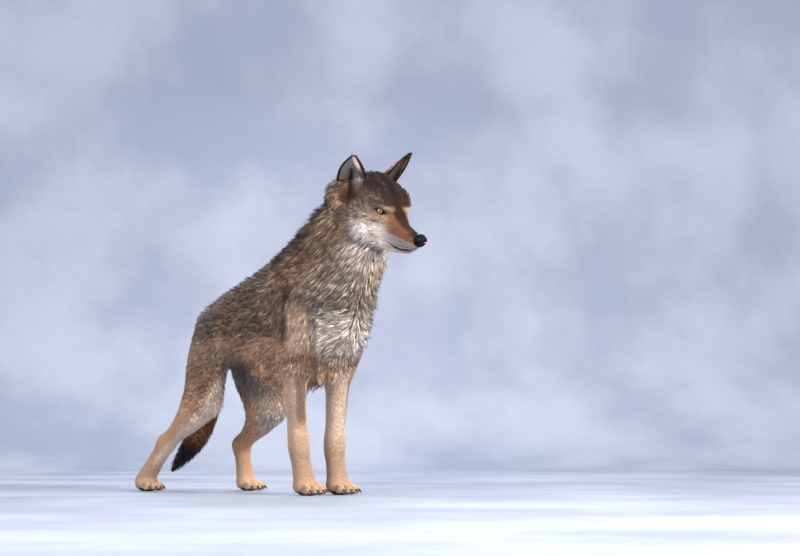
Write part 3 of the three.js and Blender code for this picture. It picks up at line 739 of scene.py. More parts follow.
def slit(local):
    """Millimetres inside the opening of the lids: 0 on the rim, below 0 outside."""
    best = np.full(len(local), -9.0)
    for s in SIDES.values():
        q = eye_frame(local, s)
        tilt = math.radians(SLIT_TILT)
        across, up = q[:, 1] * s, q[:, 2]
        along = across * math.cos(tilt) + up * math.sin(tilt)
        rise = up * math.cos(tilt) - across * math.sin(tilt)
        lid = SLIT_HEIGHT * np.clip(1 - np.abs((along + 1) / SLIT_HALF) ** 2.2, 0, 1)
        inside = np.minimum(lid - np.abs(rise - 0.4), (SLIT_HALF - np.abs(along + 1)) * 0.6)
        inside[q[:, 0] < 0] = -9
        best = np.maximum(best, inside)
    return best


def carved(points, normal):
    """Opens the lids and cuts the line of the mouth."""
    local = to_head(points)
    for s in SIDES.values():
        q = eye_frame(local, s)
        near = (np.linalg.norm(q[:, 1:], axis=1) < 30) & (q[:, 0] > 0) & (q[:, 0] < 30)
        depth = soft(slit(local), -0.2, 1.4) * near
        floor = np.minimum(q[:, 0], EYE_RADIUS - 6)
        q[:, 0] = mix(q[:, 0], floor, depth)
        rim = np.exp(-((slit(local) + 1.2) / 1.1) ** 2) * near
        q[:, 0] += 0.9 * rim
        local = np.where(near[:, None], q @ gaze(s).T + eye_place(s), local)
    gap, ahead = mouth_gap(local), local[:, 0]
    reach = soft(ahead, 8, 20) * soft(-ahead, -143, -136) * (local[:, 2] < MOUTH_TOP)
    groove = 3.2 * np.exp(-(gap / 2.2) ** 2) + 1.1 * soft(-gap, -0.5, 1.5) * soft(gap, -14, -4)
    return from_head(local - (normal @ HEAD_AXES) * (groove * reach)[:, None])


def on_ear(points):
    """Marks the ears: 1 on the back, -1 in the hollow, and how far up each place is."""
    side, share = np.zeros(len(points)), np.zeros(len(points))
    for ear in EARS.values():
        t, x, y = ear.local(points).T
        wide, deep = ear.section(t)
        r = np.sqrt((x / wide) ** 2 + (y / deep) ** 2)
        here = (t > 0.02) & (t < 1.05) & (y < 6) & (r < 1.12) & (r > 0.6)
        middle = 1 - 0.6 * Ear.WALL / np.minimum(wide, deep)
        side[here] = np.where(r[here] > middle[here], 1, -1)
        share[here] = t[here]
    return side, share


def build_skin():
    axes, values = sampled(surface)
    piece = mesh_object("skin", *nets(axes, values))
    joined(piece, [mesh_object("ear", *ear.mesh()) for ear in EARS.values()])
    refined(piece)
    points, edges, normal = read(piece.data)
    local = to_head(points)
    ear, _ = on_ear(points)
    calm = soft(-local[:, 0], -60, 0) * (ear == 0) * soft(points[:, 2], 60, 90)
    near_eye = np.minimum(*(np.linalg.norm(local - eye_place(s), axis=1) for s in SIDES.values()))
    calm *= soft(near_eye, 20, 34)
    for _ in range(6):
        points = averaged(points, edges, 0.7 * calm)
    points = within_box(carved(points, normal))
    piece.data.vertices.foreach_set("co", placed(points).astype(np.float32).ravel())
    piece.data.update()
    piece.data.polygons.foreach_set("use_smooth", np.ones(len(piece.data.polygons), bool))
    return piece, Guide(axes, values)


# ---------------------------------------------------------------- colours and markings

def colour(*rgb):
    """A display colour from 0 to 255 as linear light."""
    c = vec(*rgb) / 255
    return np.where(c <= 0.04045, c / 12.92, ((c + 0.055) / 1.055) ** 2.4)


BLACK, COAL, SLATE = colour(26, 22, 22), colour(44, 36, 34), colour(92, 80, 78)
GREY, SILVER, WHITE = colour(136, 121, 112), colour(190, 178, 170), colour(232, 220, 210)
OCHRE, FAWN, TAN = colour(168, 134, 106), colour(222, 180, 142), colour(206, 150, 108)
RUST, RUFOUS, UMBER = colour(176, 100, 62), colour(146, 84, 46), colour(92, 58, 40)
CREAM, BUFF = colour(226, 206, 188), colour(190, 160, 132)


class Paint:
    """Colours laid over one another: the band below the tips, the tips, and how long the dark tip is."""

    def __init__(self, n):
        self.band, self.tip = np.tile(OCHRE, (n, 1)), np.tile(COAL, (n, 1))
        self.dark = np.full(n, 0.5)

    def lay(self, mask, band, tip, dark):
        m = np.clip(mask, 0, 1)
        self.band = mix(self.band, band, m[:, None])
        self.tip = mix(self.tip, tip, m[:, None])
        self.dark = mix(self.dark, dark, m)


def between(value, low, high, edge):
    """1 between low and high, fading over the edge on both sides."""
    return soft(value, low - edge, low + edge) * (1 - soft(value, high - edge, high + edge))


# the pale stripe down the front of the right hind leg
SHIN_STRIPE = vec(-372, -95, 335, -430, -118, 240, -545, -125, 160, -660, -140, 80).reshape(-1, 3)


def path_distance(points, path):
    """Distance to a line of straight stretches."""
    best = np.full(len(points), 1e9)
    for a, b in zip(path[:-1], path[1:]):
        t = np.clip((points - a) @ (b - a) / ((b - a) @ (b - a)), 0, 1)
        best = np.minimum(best, np.linalg.norm(points - a - t[:, None] * (b - a), axis=1))
    return best


def markings_with_painted_light(points):
    """The animal's markings as a function of place, for the skin and the coat alike, with painted light on
    the left foreleg and painted shade in the ears' hollows.
    """
    n = len(points)
    x, y, z = points.T
    patchy = noise(points, 45, 1)
    fine = noise(points, 14, 2)
    p = Paint(n)
    # trunk: black-tipped grey back, ochre flank, pale belly
    high = (z - 520) / 200 + 0.10 * patchy
    p.lay(soft(high, 0.25, 0.85), mix(BUFF, GREY, 0.5) * 1.25, BLACK, 0.72)
    p.lay(soft(-high, 0.05, 0.4), mix(TAN, FAWN, 0.6) * 1.1, mix(UMBER, OCHRE, 0.3), 0.3)
    p.lay(soft(-high, 0.8, 1.05), mix(OCHRE, CREAM, 0.5), OCHRE, 0.2)
    p.lay(soft(-x, 400, 500) * soft(high, -0.6, 0.3), mix(SILVER, GREY, 0.6), COAL, 0.6)
    # neck, measured across its own line from nape to throat
    nape = (points - vec(-130, 0, 590)) @ unit(vec(-230, 0, 295))
    ahead = (points - vec(-130, 0, 590)) @ unit(vec(295, 0, 230))
    neck = soft(ahead, 0, 90) * soft(z, 470, 560)
    p.lay(neck, mix(FAWN, BUFF, 0.5), mix(UMBER, COAL, 0.4), 0.5)
    p.lay(neck * soft(nape + 14 * patchy, 12, 85), mix(OCHRE, GREY, 0.4) * 0.62, BLACK, 0.85)
    front = neck * soft(-nape + 12 * patchy, 30, 110) * soft(x, -20, 50)
    p.lay(front, mix(BUFF, CREAM, 0.35), mix(GREY, UMBER, 0.5), 0.45)
    front = soft(x, 90, 170) * soft(z, 560, 650) * soft(-nape, 90, 150)
    p.lay(front, mix(BUFF, CREAM, 0.55) * 0.88, mix(GREY, UMBER, 0.3), 0.4)
    # breast: grey ruff above, white below
    breast = soft(x + 0.25 * np.abs(y), 40, 100) * (1 - soft(z, 560, 640))
    p.lay(breast, mix(SILVER, BUFF, 0.5) * 0.88, mix(GREY, COAL, 0.6), 0.5)
    p.lay(breast * (1 - soft(z + 45 * patchy, 470, 550)), mix(WHITE, CREAM, 0.4), GREY, 0.3)
    p.lay(breast * (1 - soft(z + 20 * patchy, 385, 430)), mix(OCHRE, BUFF, 0.6), UMBER, 0.3)
    # shoulder: a dark saddle edge behind, light in front
    flank = soft(np.abs(y), 40, 80)
    front = flank * between(x, -8, 76, 16) * between(z, 330, 560, 40)
    p.lay(front, mix(FAWN, CREAM, 0.35) * 1.1, mix(OCHRE, FAWN, 0.5), 0.2)
    p.lay(flank * between(x, -60, 76, 16) * between(z, 320, 425, 25), mix(OCHRE, FAWN, 0.55), UMBER, 0.35)
    edge = x + 26 - 0.05 * (z - 520)
    p.lay(0.7 * flank * np.exp(-(edge / 14) ** 2) * between(z, 450, 625, 26), SLATE, BLACK, 0.9)
    # forelegs, with painted light on the left one
    fore = (x > -120) * (1 - soft(z, 335, 400)) * (np.abs(y) > 20)
    p.lay(fore, mix(FAWN, CREAM, 0.35) * 1.15, mix(TAN, FAWN, 0.5) * 1.1, 0.2)
    # painted light: the left foreleg is lighter above the foot, where the light falls on that side
    p.lay(fore * (y > 0) * soft(z, 120, 200), mix(FAWN, CREAM, 0.7) * 1.3, mix(FAWN, CREAM, 0.4), 0.2)
    p.lay(fore * soft(-z, -200, -80), mix(FAWN, CREAM, 0.3) * 0.84, mix(TAN, FAWN, 0.5) * 0.85, 0.2)
    streak = np.where(y < 0, np.hypot(x - 8, (y + 82) * 0.9), np.hypot(x - 4, (y - 112) * 0.8))
    streak = 0.75 * fore * (1 - soft(streak + 4 * fine, 14, 27)) * between(z, 210, 380, 22)
    p.lay(streak, mix(SLATE, OCHRE, 0.4), COAL, 0.6)
    p.lay(fore * between(x, -110, -62, 8) * soft(z, 250, 380), RUST, UMBER, 0.4)
    # hind legs: grey thigh, tan shank with a pale front, pale inside
    hind = (x < -330) * (1 - soft(z, 380, 500)) * (np.abs(y) > 18)
    outer = hind * soft(np.abs(y), 60, 110)
    p.lay(hind, mix(GREY, SILVER, 0.5), GREY, 0.3)
    p.lay(outer * soft(z, 180, 240), mix(OCHRE, FAWN, 0.5), mix(COAL, UMBER, 0.5), 0.45)
    low = (x < -330) * (1 - soft(z + 12 * patchy, 235, 330)) * (np.abs(y) > 18)
    p.lay(low, mix(TAN, FAWN, 0.7) * 1.2, mix(TAN, FAWN, 0.3), 0.25)
    stripe = path_distance(points, SHIN_STRIPE) + 5 * fine
    stripe = hind * (y < 0) * (1 - soft(stripe, 26, 50))
    p.lay(stripe, mix(CREAM, FAWN, 0.35) * 1.55, mix(BUFF, CREAM, 0.6), 0.15)
    p.lay(low * (y > 0) * soft(x + 440 - 0.6 * (z - 200), -14, 22) * soft(z, 110, 170), CREAM, BUFF, 0.2)
    p.lay(low * (1 - soft(z, 60, 120)), mix(FAWN, CREAM, 0.3), mix(TAN, FAWN, 0.5), 0.2)
    # tail
    tail = 1 - soft(TAIL_FORM.distance(points, 0.0), 0, 14)
    tail *= soft(-x, 520, 560) * (np.abs(y) < 90)
    p.lay(tail, mix(RUFOUS, OCHRE, 0.25), COAL, 0.45)
    p.lay(tail * soft(z, 420, 500), GREY, BLACK, 0.6)
    p.lay(tail * (1 - soft(z + 0.5 * (x + 665) + 14 * patchy, 120, 190)), COAL, BLACK, 0.9)
    face(p, points, patchy)
    return p


def face(p, points, patchy):
    """The head's markings and the painted shade in the ears' hollows, the same on both sides, in the head's
    own axes.
    """
    x, y, z = to_head(points).T
    y = np.abs(y)
    throat = soft(x, -110, -50) * soft(-z, 95, 125) * soft(z, -215, -150)
    p.lay(throat, mix(CREAM, WHITE, 0.3) * 0.85, mix(BUFF, GREY, 0.4), 0.3)
    on = soft(x + 0.2 * z, -150, -105) * soft(z, -135, -105)
    p.lay(on, mix(GREY, BUFF, 0.35), mix(COAL, UMBER, 0.4), 0.6)
    ruff = soft(-x, 60, 110) * soft(-z, 0, 50) * soft(z, -150, -110)
    p.lay(on * ruff, mix(BUFF, OCHRE, 0.5), UMBER, 0.35)
    # crown and forehead
    crown = soft(z, 8, 24) * soft(-x, -66, -40) * (1 - soft(y - 0.3 * z, 34, 62) * 0.6)
    p.lay(on * crown, mix(UMBER, SLATE, 0.3) * 0.5, mix(COAL, BLACK, 0.6), 0.85)
    p.lay(on * crown * np.exp(-(y / 10) ** 2), COAL * 0.8, BLACK, 0.9)
    p.lay(on * crown * np.exp(-((y - 26 - 0.1 * x) / 6) ** 2) * soft(-x, -20, 20) * 0.7, SLATE, BLACK, 0.85)
    # bridge of the muzzle
    muzzle = soft(x, 18, 42) * (1 - 0.85 * soft(z, -12, 8))
    p.lay(on * muzzle, mix(RUST, OCHRE, 0.35) * 0.7, mix(RUST, UMBER, 0.4) * 0.9, 0.3)
    bridge = between(x, 14, 120, 14) * (1 - soft(y + 0.12 * x, 20, 34)) * soft(z + 0.35 * x, -18, 2)
    p.lay(on * bridge, mix(UMBER, OCHRE, 0.25) * 0.6, COAL, 0.65)
    p.lay(on * between(x, 12, 78, 14) * (1 - soft(y, 15, 28)) * soft(z, -24, -8), UMBER * 0.55, BLACK, 0.7)
    p.lay(on * soft(x, 96, 124) * soft(z, -52, -36), COAL, BLACK, 0.8)
    # white cheeks, lips and chin
    lip = -57 - 0.10 * (x - 60)
    p.lay(on * soft(x, -10, 20) * soft(-z, -lip - 5, -lip + 5), SILVER * 0.8, SILVER, 0.2)
    cheek = np.exp(-(((x + 14) / 46) ** 4 + ((z + 70 - 0.12 * x) / 36) ** 4))
    p.lay(on * cheek, mix(WHITE, CREAM, 0.35) * 1.35, mix(WHITE, CREAM, 0.3) * 1.2, 0.15)
    p.lay(on * soft(-z, 96, 112) * soft(x, -40, 0), WHITE * 1.1, WHITE, 0.2)
    # round the eye: pale above and below, grey behind, dark at the corners and on the upper lid
    for (ahead, up), (long, tall), band, tip, share in (
            ((24, 13), (7, 7), BUFF, FAWN, 0.85),
            ((-16, 15), (13, 4), UMBER, BUFF, 0.7),
            ((2, 30), (26, 6), UMBER, BLACK, 0.8),
            ((6, 12), (16, 3.0), COAL, BLACK, 0.85),
            ((-14, -20), (22, 10), BUFF, OCHRE, 0.75),
            ((20, -18), (16, 10), mix(FAWN, RUST, 0.35), TAN, 0.8),
            ((-2, -30), (9, 5), SLATE, COAL, 0.7),
            ((24, 2), (11, 7), UMBER, COAL, 0.6)):
        spot = np.exp(-(((x - ahead) / long) ** 2 + ((z - up) / tall) ** 2) ** 1.5)
        p.lay(on * spot * share * (y > 14), band, tip, 0.25)
    spots = noise(points, 3.2, 5)
    whisker = between(x, 70, 122, 8) * between(z, -84, -62, 5)
    p.lay(on * whisker * soft(spots, 0.25, 0.45), SLATE, COAL, 0.8)
    # ears: rufous behind, dark rim and tip, pale within, with painted shade in each hollow and in a pit
    # below it
    side, share = on_ear(points)
    base = np.exp(-(((x + 118) / 40) ** 2 + ((y - 74) / 34) ** 2 + ((z - 22) / 44) ** 2))
    p.lay(base * 1.2, mix(RUFOUS, UMBER, 0.45) * 0.62, mix(UMBER, COAL, 0.4), 0.45)
    p.lay((side > 0) * 1.0, mix(RUFOUS, RUST, 0.4), UMBER, 0.4)
    p.lay((side > 0) * soft(share + 0.08 * patchy, 0.62, 0.95), COAL, BLACK, 0.9)
    p.lay((side < 0) * 1.0, mix(WHITE, BUFF, 0.3) * 1.25, CREAM * 1.1, 0.2)
    for ear in EARS.values():
        t, across, facing = ear.local(points).T
        wide, deep = ear.section(t)
        cup = (t > -0.35) & (t < 0.7) & (np.abs(across) < wide - 5) & (facing < 14) & (facing > -deep)
        middle = np.exp(-((across - 2 * ear.side) / 9) ** 2) * (1 - soft(t, 0.42, 0.62))
        # a pit below each hollow, painted as the ear's opening running on down: pale-grey hair, its lower
        # part darker brown, partly the hair's colour and partly painted shade
        pit = (t > -0.7) & (t < 0.4) & (side == 0)
        pit = pit * (1 - soft(np.hypot(across / 34, (facing - 12) / 32), 0.85, 1.05))
        p.lay(pit, mix(BUFF, GREY, 0.4), mix(UMBER, COAL, 0.5), 0.4)
        p.lay(pit * soft(-t, -0.1, 0.35), mix(RUFOUS, UMBER, 0.6), COAL, 0.5)
        # painted shade: the bottom of the hollow is darker, and so is a stripe down the middle of the hollow
        # and the pit
        p.lay(cup * (side < 0) * (1 - soft(t, 0.02, 0.14)), UMBER, COAL, 0.4)
        p.lay(np.maximum(cup * (side < 0), pit) * middle, COAL, UMBER, 0.3)


def edge_of_ear(points):
    """How near each place on an ear is to its rim, from 0 within to 1 on the edge."""
    out = np.zeros(len(points))
    for ear in EARS.values():
        t, x, y = ear.local(points).T
        wide, deep = ear.section(t)
        angle = np.abs(np.arctan2(x / wide, -y / deep))
        here = (t > 0) & (t < 1.05) & (y < 6) & (np.abs(x) < wide + 4)
        out[here] = np.maximum(soft(angle, 1.38, 1.54), soft(t, 0.92, 0.98))[here]
    return out


# ---------------------------------------------------------------- the lie and depth of the coat

def lie_of_coat(points, edges, normal):
    """The way the hair points at each place on the skin."""
    total = np.zeros_like(points)
    weight = np.zeros(len(points))
    for form in FORMS:
        lie = np.zeros_like(points)
        d = form.distance(points, 1.0, lie)
        w = np.exp(-np.clip(d, 0, 150) / 7)
        total += lie * w[:, None]
        weight += w
    lie = total / np.maximum(weight, 1e-9)[:, None]
    x, y, z = points.T
    body = soft(z, 330, 420) * (1 - soft(to_head(points)[:, 0], -130, -90))
    lie[:, 2] -= 0.45 * body * soft(np.abs(normal[:, 1]), 0.3, 0.9)
    chest = body * soft(normal[:, 0], 0.1, 0.7) * soft(x, -40, 60)
    lie[:, 2] -= 1.6 * chest
    lie[:, 1] += 0.5 * np.sign(y) * chest * soft(np.abs(y), 5, 40)
    under = body * soft(-normal[:, 2], 0.4, 0.9)
    lie[:, 2] -= 0.8 * under
    side, _ = on_ear(points)
    for s, ear in EARS.items():
        mine = (side != 0) & (np.sign(to_head(points)[:, 1]) == s)
        _, across, _ = ear.local(points).T
        lie[mine] = HEAD_AXES @ unit(ear.rise)
        inside = mine & (side < 0)
        apart = 0.5 * np.sign(across[inside])[:, None]
        lie[inside] += 0.7 * (HEAD_AXES @ ear.facing) - apart * (HEAD_AXES @ ear.across)
    for _ in range(14):
        lie -= normal * (lie * normal).sum(1)[:, None]
        lie = averaged(unit(lie), edges, np.where(side != 0, 0.2, 0.7))
    lie -= normal * (lie * normal).sum(1)[:, None]
    return unit(lie)


def depth_of_coat(points):
    """How far the tips stand off the skin."""
    depth = np.clip(-surface(points, 0.0), 0, 60)
    side, share = on_ear(points)
    local = to_head(points)
    x, y, z = local.T
    brow = np.exp(-((x - 12) / 22) ** 2 - ((np.abs(y) - 46) / 16) ** 2 - ((z - 8) / 20) ** 2)
    depth = np.where(slit(local) < -3, depth + 1.5 * brow, depth)
    for ear in EARS.values():
        t, across, facing = ear.local(points).T
        cup = (t > -0.6) & (t < 0.45) & (np.abs(across) < 40) & (np.abs(facing - 6) < 38) & (side == 0)
        depth = np.where(cup, np.maximum(depth, 7), depth)
    depth = np.where(side > 0, 3.5, depth)
    depth = np.where(side < 0, 11.0 - 7 * share, depth)
    return depth


def bare(points, normal):
    """Where no hair grows: the lids' opening, the lips, the nose and the soles."""
    local = to_head(points)
    none = soft(slit(local), -1.6, -0.8)
    near = [np.linalg.norm(local - eye_place(s), axis=1) for s in SIDES.values()]
    none *= np.minimum(*near) < 30
    nose = np.sqrt((((local - NOSE) / (NOSE_RADII + 1.5)) ** 2).sum(1))
    none = np.maximum.reduce([none, lips(local, 0.3, 2.2, 4.0), 1 - soft(nose, 0.98, 1.05)])
    sole = (points[:, 2] < 12) * soft(-normal[:, 2], 0.3, 0.7)
    none = np.maximum(none, sole)
    return none


# ---------------------------------------------------------------- the tufts

BUDGET = 1_420_000               # triangles in the whole coat
PIECE_LIMIT = 190_000
LONG, SHORT = 44.0, 19.0         # lengths over which a tuft takes two bends, and one
STOPS = (0.34, 0.68, 1.0)        # the shares of a tuft's length where its places are worked out
PATCH = 0.003                    # a tuft's width and height on the bake map
# for each kind of tuft, its faces, and on which side of the patch each corner lies
TUFT_FACES = (
    [(0, 1, 3), (1, 2, 3), (2, 0, 3), (0, 2, 1)],
    [(0, 2, 1), (0, 3, 2), (0, 1, 3), (1, 2, 4), (2, 3, 4), (3, 1, 4)],
    [(0, 2, 1), (0, 3, 2), (0, 1, 3), (1, 2, 5), (1, 5, 4), (2, 3, 6), (2, 6, 5),
     (3, 1, 4), (3, 4, 6), (4, 5, 7), (5, 6, 7), (6, 4, 7)],
)
TUFT_SIDES = ((-1, 1, 0, 0), (0, -1, 1, 0, 0), (0, -1, 1, 0, -1, 1, 0, 0))
TUFT_COST = np.array([len(faces) for faces in TUFT_FACES])


def tuft_length(depth):
    return 5.5 + 1.35 * depth


def tuft_width(length):
    return 1.15 + 0.036 * length


def tuft_kind(length):
    return np.where(length > LONG, 2, np.where(length > SHORT, 1, 0))


def areas(tris, points):
    a, b, c = (points[tris[:, k]] for k in range(3))
    return np.linalg.norm(np.cross(b - a, c - a), axis=1) / 2


def tuft_density(tris, points, normal, depth):
    """Tufts to a square millimetre at each place on the skin, held to the budget."""
    length = tuft_length(depth)
    cover = 2.4 + 0.135 * length
    density = cover / (0.5 * tuft_width(length) * length) * (1 - bare(points, normal))
    side, _ = on_ear(points)
    density *= np.where(side < 0, 2.2, np.where(side > 0, 1.4, 1.0))
    spend = (areas(tris, points) * (density * TUFT_COST[tuft_kind(length)])[tris].mean(1)).sum()
    return density * min(1.0, BUDGET / spend)


def scattered(tris, points, density):
    """Roots spread over the skin: which triangle each is in, and its weights."""
    wanted = areas(tris, points) * density[tris].mean(1)
    edges = np.cumsum(wanted)
    count = int(edges[-1])
    spots = (np.arange(count) + RNG.random(count)) * (edges[-1] / count)
    face = np.minimum(np.searchsorted(edges, spots), len(tris) - 1)
    u, v = np.sqrt(RNG.random(count)), RNG.random(count)
    return face, np.stack([1 - u, u * (1 - v), u * v], axis=1)


def carried(values, tris, face, weights):
    """Values at the skin's corners, carried to the roots."""
    corner = values[tris[face]]
    return (corner * (weights[:, :, None] if values.ndim == 2 else weights)).sum(1)


def lock_of(points):
    """The nearest of a set of lock centres, about one to seven tufts, to each root."""
    centres = np.flatnonzero(RNG.random(len(points)) < 0.15)
    tree = KDTree(len(centres))
    for i, c in enumerate(centres):
        tree.insert(points[c], i)
    tree.balance()
    return np.array([centres[tree.find(p)[1]] for p in points])


def grown(root, normal, lie, length, rise, depth, guide):
    """The places along each tuft, from the root out, held above the skin by the guide."""
    places, place, way, last = [root - normal * 1.2], root.copy(), lie.copy(), 0.0
    for t in STOPS:
        place = place + way * (length * (t - last))[:, None]
        target = depth * rise * t ** 0.75
        for _ in range(2):
            out = guide.out(place)
            place = place + out * (target - guide.height(place))[:, None]
        way = unit(way - out * (way * out).sum(1)[:, None])
        places.append(place.copy())
        last = t
    return places


def tuft_colours(root, seen, size, ear, lock, tint):
    """The colour of each tuft's band and of its tip, taken from the markings and painted light where it is
    seen.
    """
    n = len(root)
    paint = markings_with_painted_light(np.where((ear != 0)[:, None], root, seen))
    calm = soft(size, 3, 14)
    shade = mix(1.0, mix(0.66, 1.42, tint) * RNG.uniform(0.72, 1.32, n), 0.16 + 0.84 * calm)
    shade *= 1 + 0.16 * noise(root, 22, 7) * calm
    shade = np.where(ear < 0, RNG.uniform(0.5, 1.5, n), shade)
    rim = (edge_of_ear(root) * (ear != 0))[:, None]
    band = mix(paint.band * shade[:, None], COAL, rim)
    dark = np.clip(paint.dark * mix(0.4, 1.9, RNG.random(n)[lock]), 0, 1)
    return band, mix(band, mix(paint.tip, COAL, rim), np.clip(0.3 + dark, 0, 1)[:, None])


def build_coat(skin, guide):
    """Every tuft leans and stands a little differently, and its lock differs from the next."""
    points, edges, normal = read(skin.data)
    tris = triangles_of(skin.data)
    lie = lie_of_coat(points, edges, normal)
    depth = depth_of_coat(points)
    face, weights = scattered(tris, points, tuft_density(tris, points, normal, depth))
    root, up, way = (carried(v, tris, face, weights) for v in (points, normal, lie))
    up, way = unit(up), unit(way)
    size = carried(depth, tris, face, weights)
    n = len(root)
    ear, _ = on_ear(root)
    lock = lock_of(root)
    height, tint = RNG.random(n)[lock], RNG.random(n)[lock]
    swing = 0.20 * noise(root, 38, 11) + 0.10 * RNG.standard_normal(n) + 0.22 * (height - 0.5)
    way = unit(way + np.cross(up, way) * swing[:, None])
    length = tuft_length(size) * RNG.uniform(0.72, 1.12, n) * mix(0.88, 1.1, height)
    length *= np.clip((-slit(to_head(root)) - 0.5) / 11, 0.22, 1)      # short round the eyes
    rise = RNG.uniform(0.62, 1.0, n) * mix(0.9, 1.1, height)
    wide = tuft_width(length) * RNG.uniform(0.75, 1.25, n)
    places = grown(root, up, way, length, rise, size, guide)
    flat = np.flatnonzero(ear != 0)
    pull = np.where(size > 12, 0.55, 0.25) * (ear == 0)
    for place, t in zip(places[1:], STOPS):
        place[flat] = root[flat] + (way[flat] + 0.32 * up[flat]) * (length[flat] * t)[:, None]
        # locks draw together towards their tips
        towards = place[lock] - place
        close = np.linalg.norm(towards, axis=1) < 30
        place[:] = within_box(place + towards * (pull * close * t ** 1.6)[:, None])
    kinds = tuft_kind(length)
    kinds[flat] = 0
    band, tip = tuft_colours(root, places[2], size, ear, lock, tint)
    wide *= np.where(ear < 0, 1.7, 1.0)
    return Tufts(kinds, places, np.cross(up, way), up, wide, band, tip, root)


class Tufts:
    """Solid tufts: a ring of three corners at each bend, a closed root and a fine tip."""

    def __init__(self, kinds, places, across, up, wide, band, tip, root):
        self.kinds, self.places, self.across, self.up, self.wide = kinds, places, across, up, wide
        self.band, self.tip, self.root, self.patch = band, tip, root, root_map(root)

    def mesh_data(self, which, kind):
        """Corners, band, tip, share along the tuft, bake map and faces of some tufts of one kind."""
        p = [a[which] for a in self.places]
        across, up, wide = self.across[which], self.up[which], self.wide[which]
        corners, along = [], []

        def ring(centre, width, share):
            for side, lift in ((-0.5, 0), (0.5, 0), (0, 0.42)):
                corners.append(centre + across * (side * width)[:, None] + up * (lift * width)[:, None])
                along.append(share)

        def point(centre, share):
            corners.append(centre)
            along.append(share)

        if kind == 0:
            ring(p[0], wide, 0.0)
        else:
            point(p[0], 0.0)
            ring(p[1], wide, 0.4)
        if kind == 2:
            ring(p[2], wide * 0.85, 0.7)
        point(p[3], 1.0)
        many = len(corners)
        band, tip = (np.repeat(a[which], many, axis=0) for a in (self.band, self.tip))
        patch = np.stack([np.array(TUFT_SIDES[kind]) / 2, np.array(along) - 0.5], axis=1) * PATCH
        uv = self.patch[which][:, None, :] + patch[None]
        index = np.array(TUFT_FACES[kind])[None] + (np.arange(len(which)) * many)[:, None, None]
        return (np.stack(corners, axis=1).reshape(-1, 3), band, tip, np.tile(along, len(which)),
                uv.reshape(-1, 2), index.reshape(-1, 3))


def coat_pieces(tufts, material):
    """The coat as meshes of less than the limit, from tail to nose."""
    order = np.argsort(tufts.root[:, 0], kind="stable")
    slabs = np.cumsum(TUFT_COST[tufts.kinds[order]]) // PIECE_LIMIT
    made = []
    for k in range(slabs[-1] + 1):
        mine = order[slabs == k]
        groups = [(kind, mine[tufts.kinds[mine] == kind]) for kind in range(3)]
        parts = [tufts.mesh_data(which, kind) for kind, which in groups if len(which)]
        starts = np.cumsum([0] + [len(part[0]) for part in parts])
        data = [np.concatenate([part[i] for part in parts]) for i in range(5)]
        faces = np.concatenate([part[5] + start for part, start in zip(parts, starts)])
        made.append(hair_mesh(f"coat_{k + 1}", *data, faces, material))
    return made


def hair_mesh(name, points, band, tip, along, uv, tris, material):
    """A mesh of hair with its colours and its bake map."""
    mesh = bpy.data.meshes.new(name)
    mesh.vertices.add(len(points))
    mesh.vertices.foreach_set("co", placed(within_box(points)).astype(np.float32).ravel())
    mesh.loops.add(tris.size)
    mesh.loops.foreach_set("vertex_index", tris.astype(np.int32).ravel())
    mesh.polygons.add(len(tris))
    mesh.polygons.foreach_set("loop_start", np.arange(0, tris.size, 3, dtype=np.int32))
    mesh.polygons.foreach_set("use_smooth", np.ones(len(tris), bool))
    painted(mesh, "tint", band)
    painted(mesh, "tips", tip)
    attached(mesh, "along", along)
    layer = mesh.uv_layers.new(name="OFBake")
    layer.data.foreach_set("uv", uv[tris.ravel()].astype(np.float32).ravel())
    mesh.update(calc_edges=True)
    mesh.materials.append(material)
    return linked(name, mesh)


MAP_STEP = 14.0                  # cells of the coarse copy


def root_map(roots):
    """Each root's place on a flat map of the skin's own shape, unwrapped on a coarse copy."""
    axes = [np.arange(lo - 20, hi + 20, MAP_STEP) for lo, hi in zip(BOX_LOW, BOX_HIGH)]
    values = over_threads(surface, lattice(axes)).reshape([len(a) for a in axes])
    points, faces = nets(axes, values)
    rough = mesh_object("map", points, faces)
    bpy.context.view_layer.objects.active = rough
    rough.select_set(True)
    bpy.ops.object.mode_set(mode="EDIT")
    bpy.ops.mesh.select_all(action="SELECT")
    bpy.ops.uv.smart_project(angle_limit=math.radians(66), island_margin=0.004)
    bpy.ops.object.mode_set(mode="OBJECT")
    uv = fetched(rough.data.uv_layers.active.data, "uv", 2)
    loops, corner = (triangles_of(rough.data, what) for what in ("loops", "vertices"))
    bpy.data.objects.remove(rough)
    tree = BVHTree.FromPolygons(points.tolist(), corner.tolist())
    found = np.array([tree.find_nearest(p)[2] for p in roots.tolist()])
    # each root's shares of the three corners of the nearest triangle
    a, b, c = (points[corner[found, k]] for k in range(3))
    e, f, g = b - a, c - a, roots - a
    ee, ef, ff, ge, gf = ((u * v).sum(1) for u, v in ((e, e), (e, f), (f, f), (g, e), (g, f)))
    over = np.maximum(ee * ff - ef * ef, 1e-9)
    v, w = np.clip((ff * ge - ef * gf) / over, 0, 1), np.clip((ee * gf - ef * ge) / over, 0, 1)
    flat = uv[loops[found]]
    return flat[:, 0] * (1 - v - w)[:, None] + flat[:, 1] * v[:, None] + flat[:, 2] * w[:, None]


# ---------------------------------------------------------------- materials

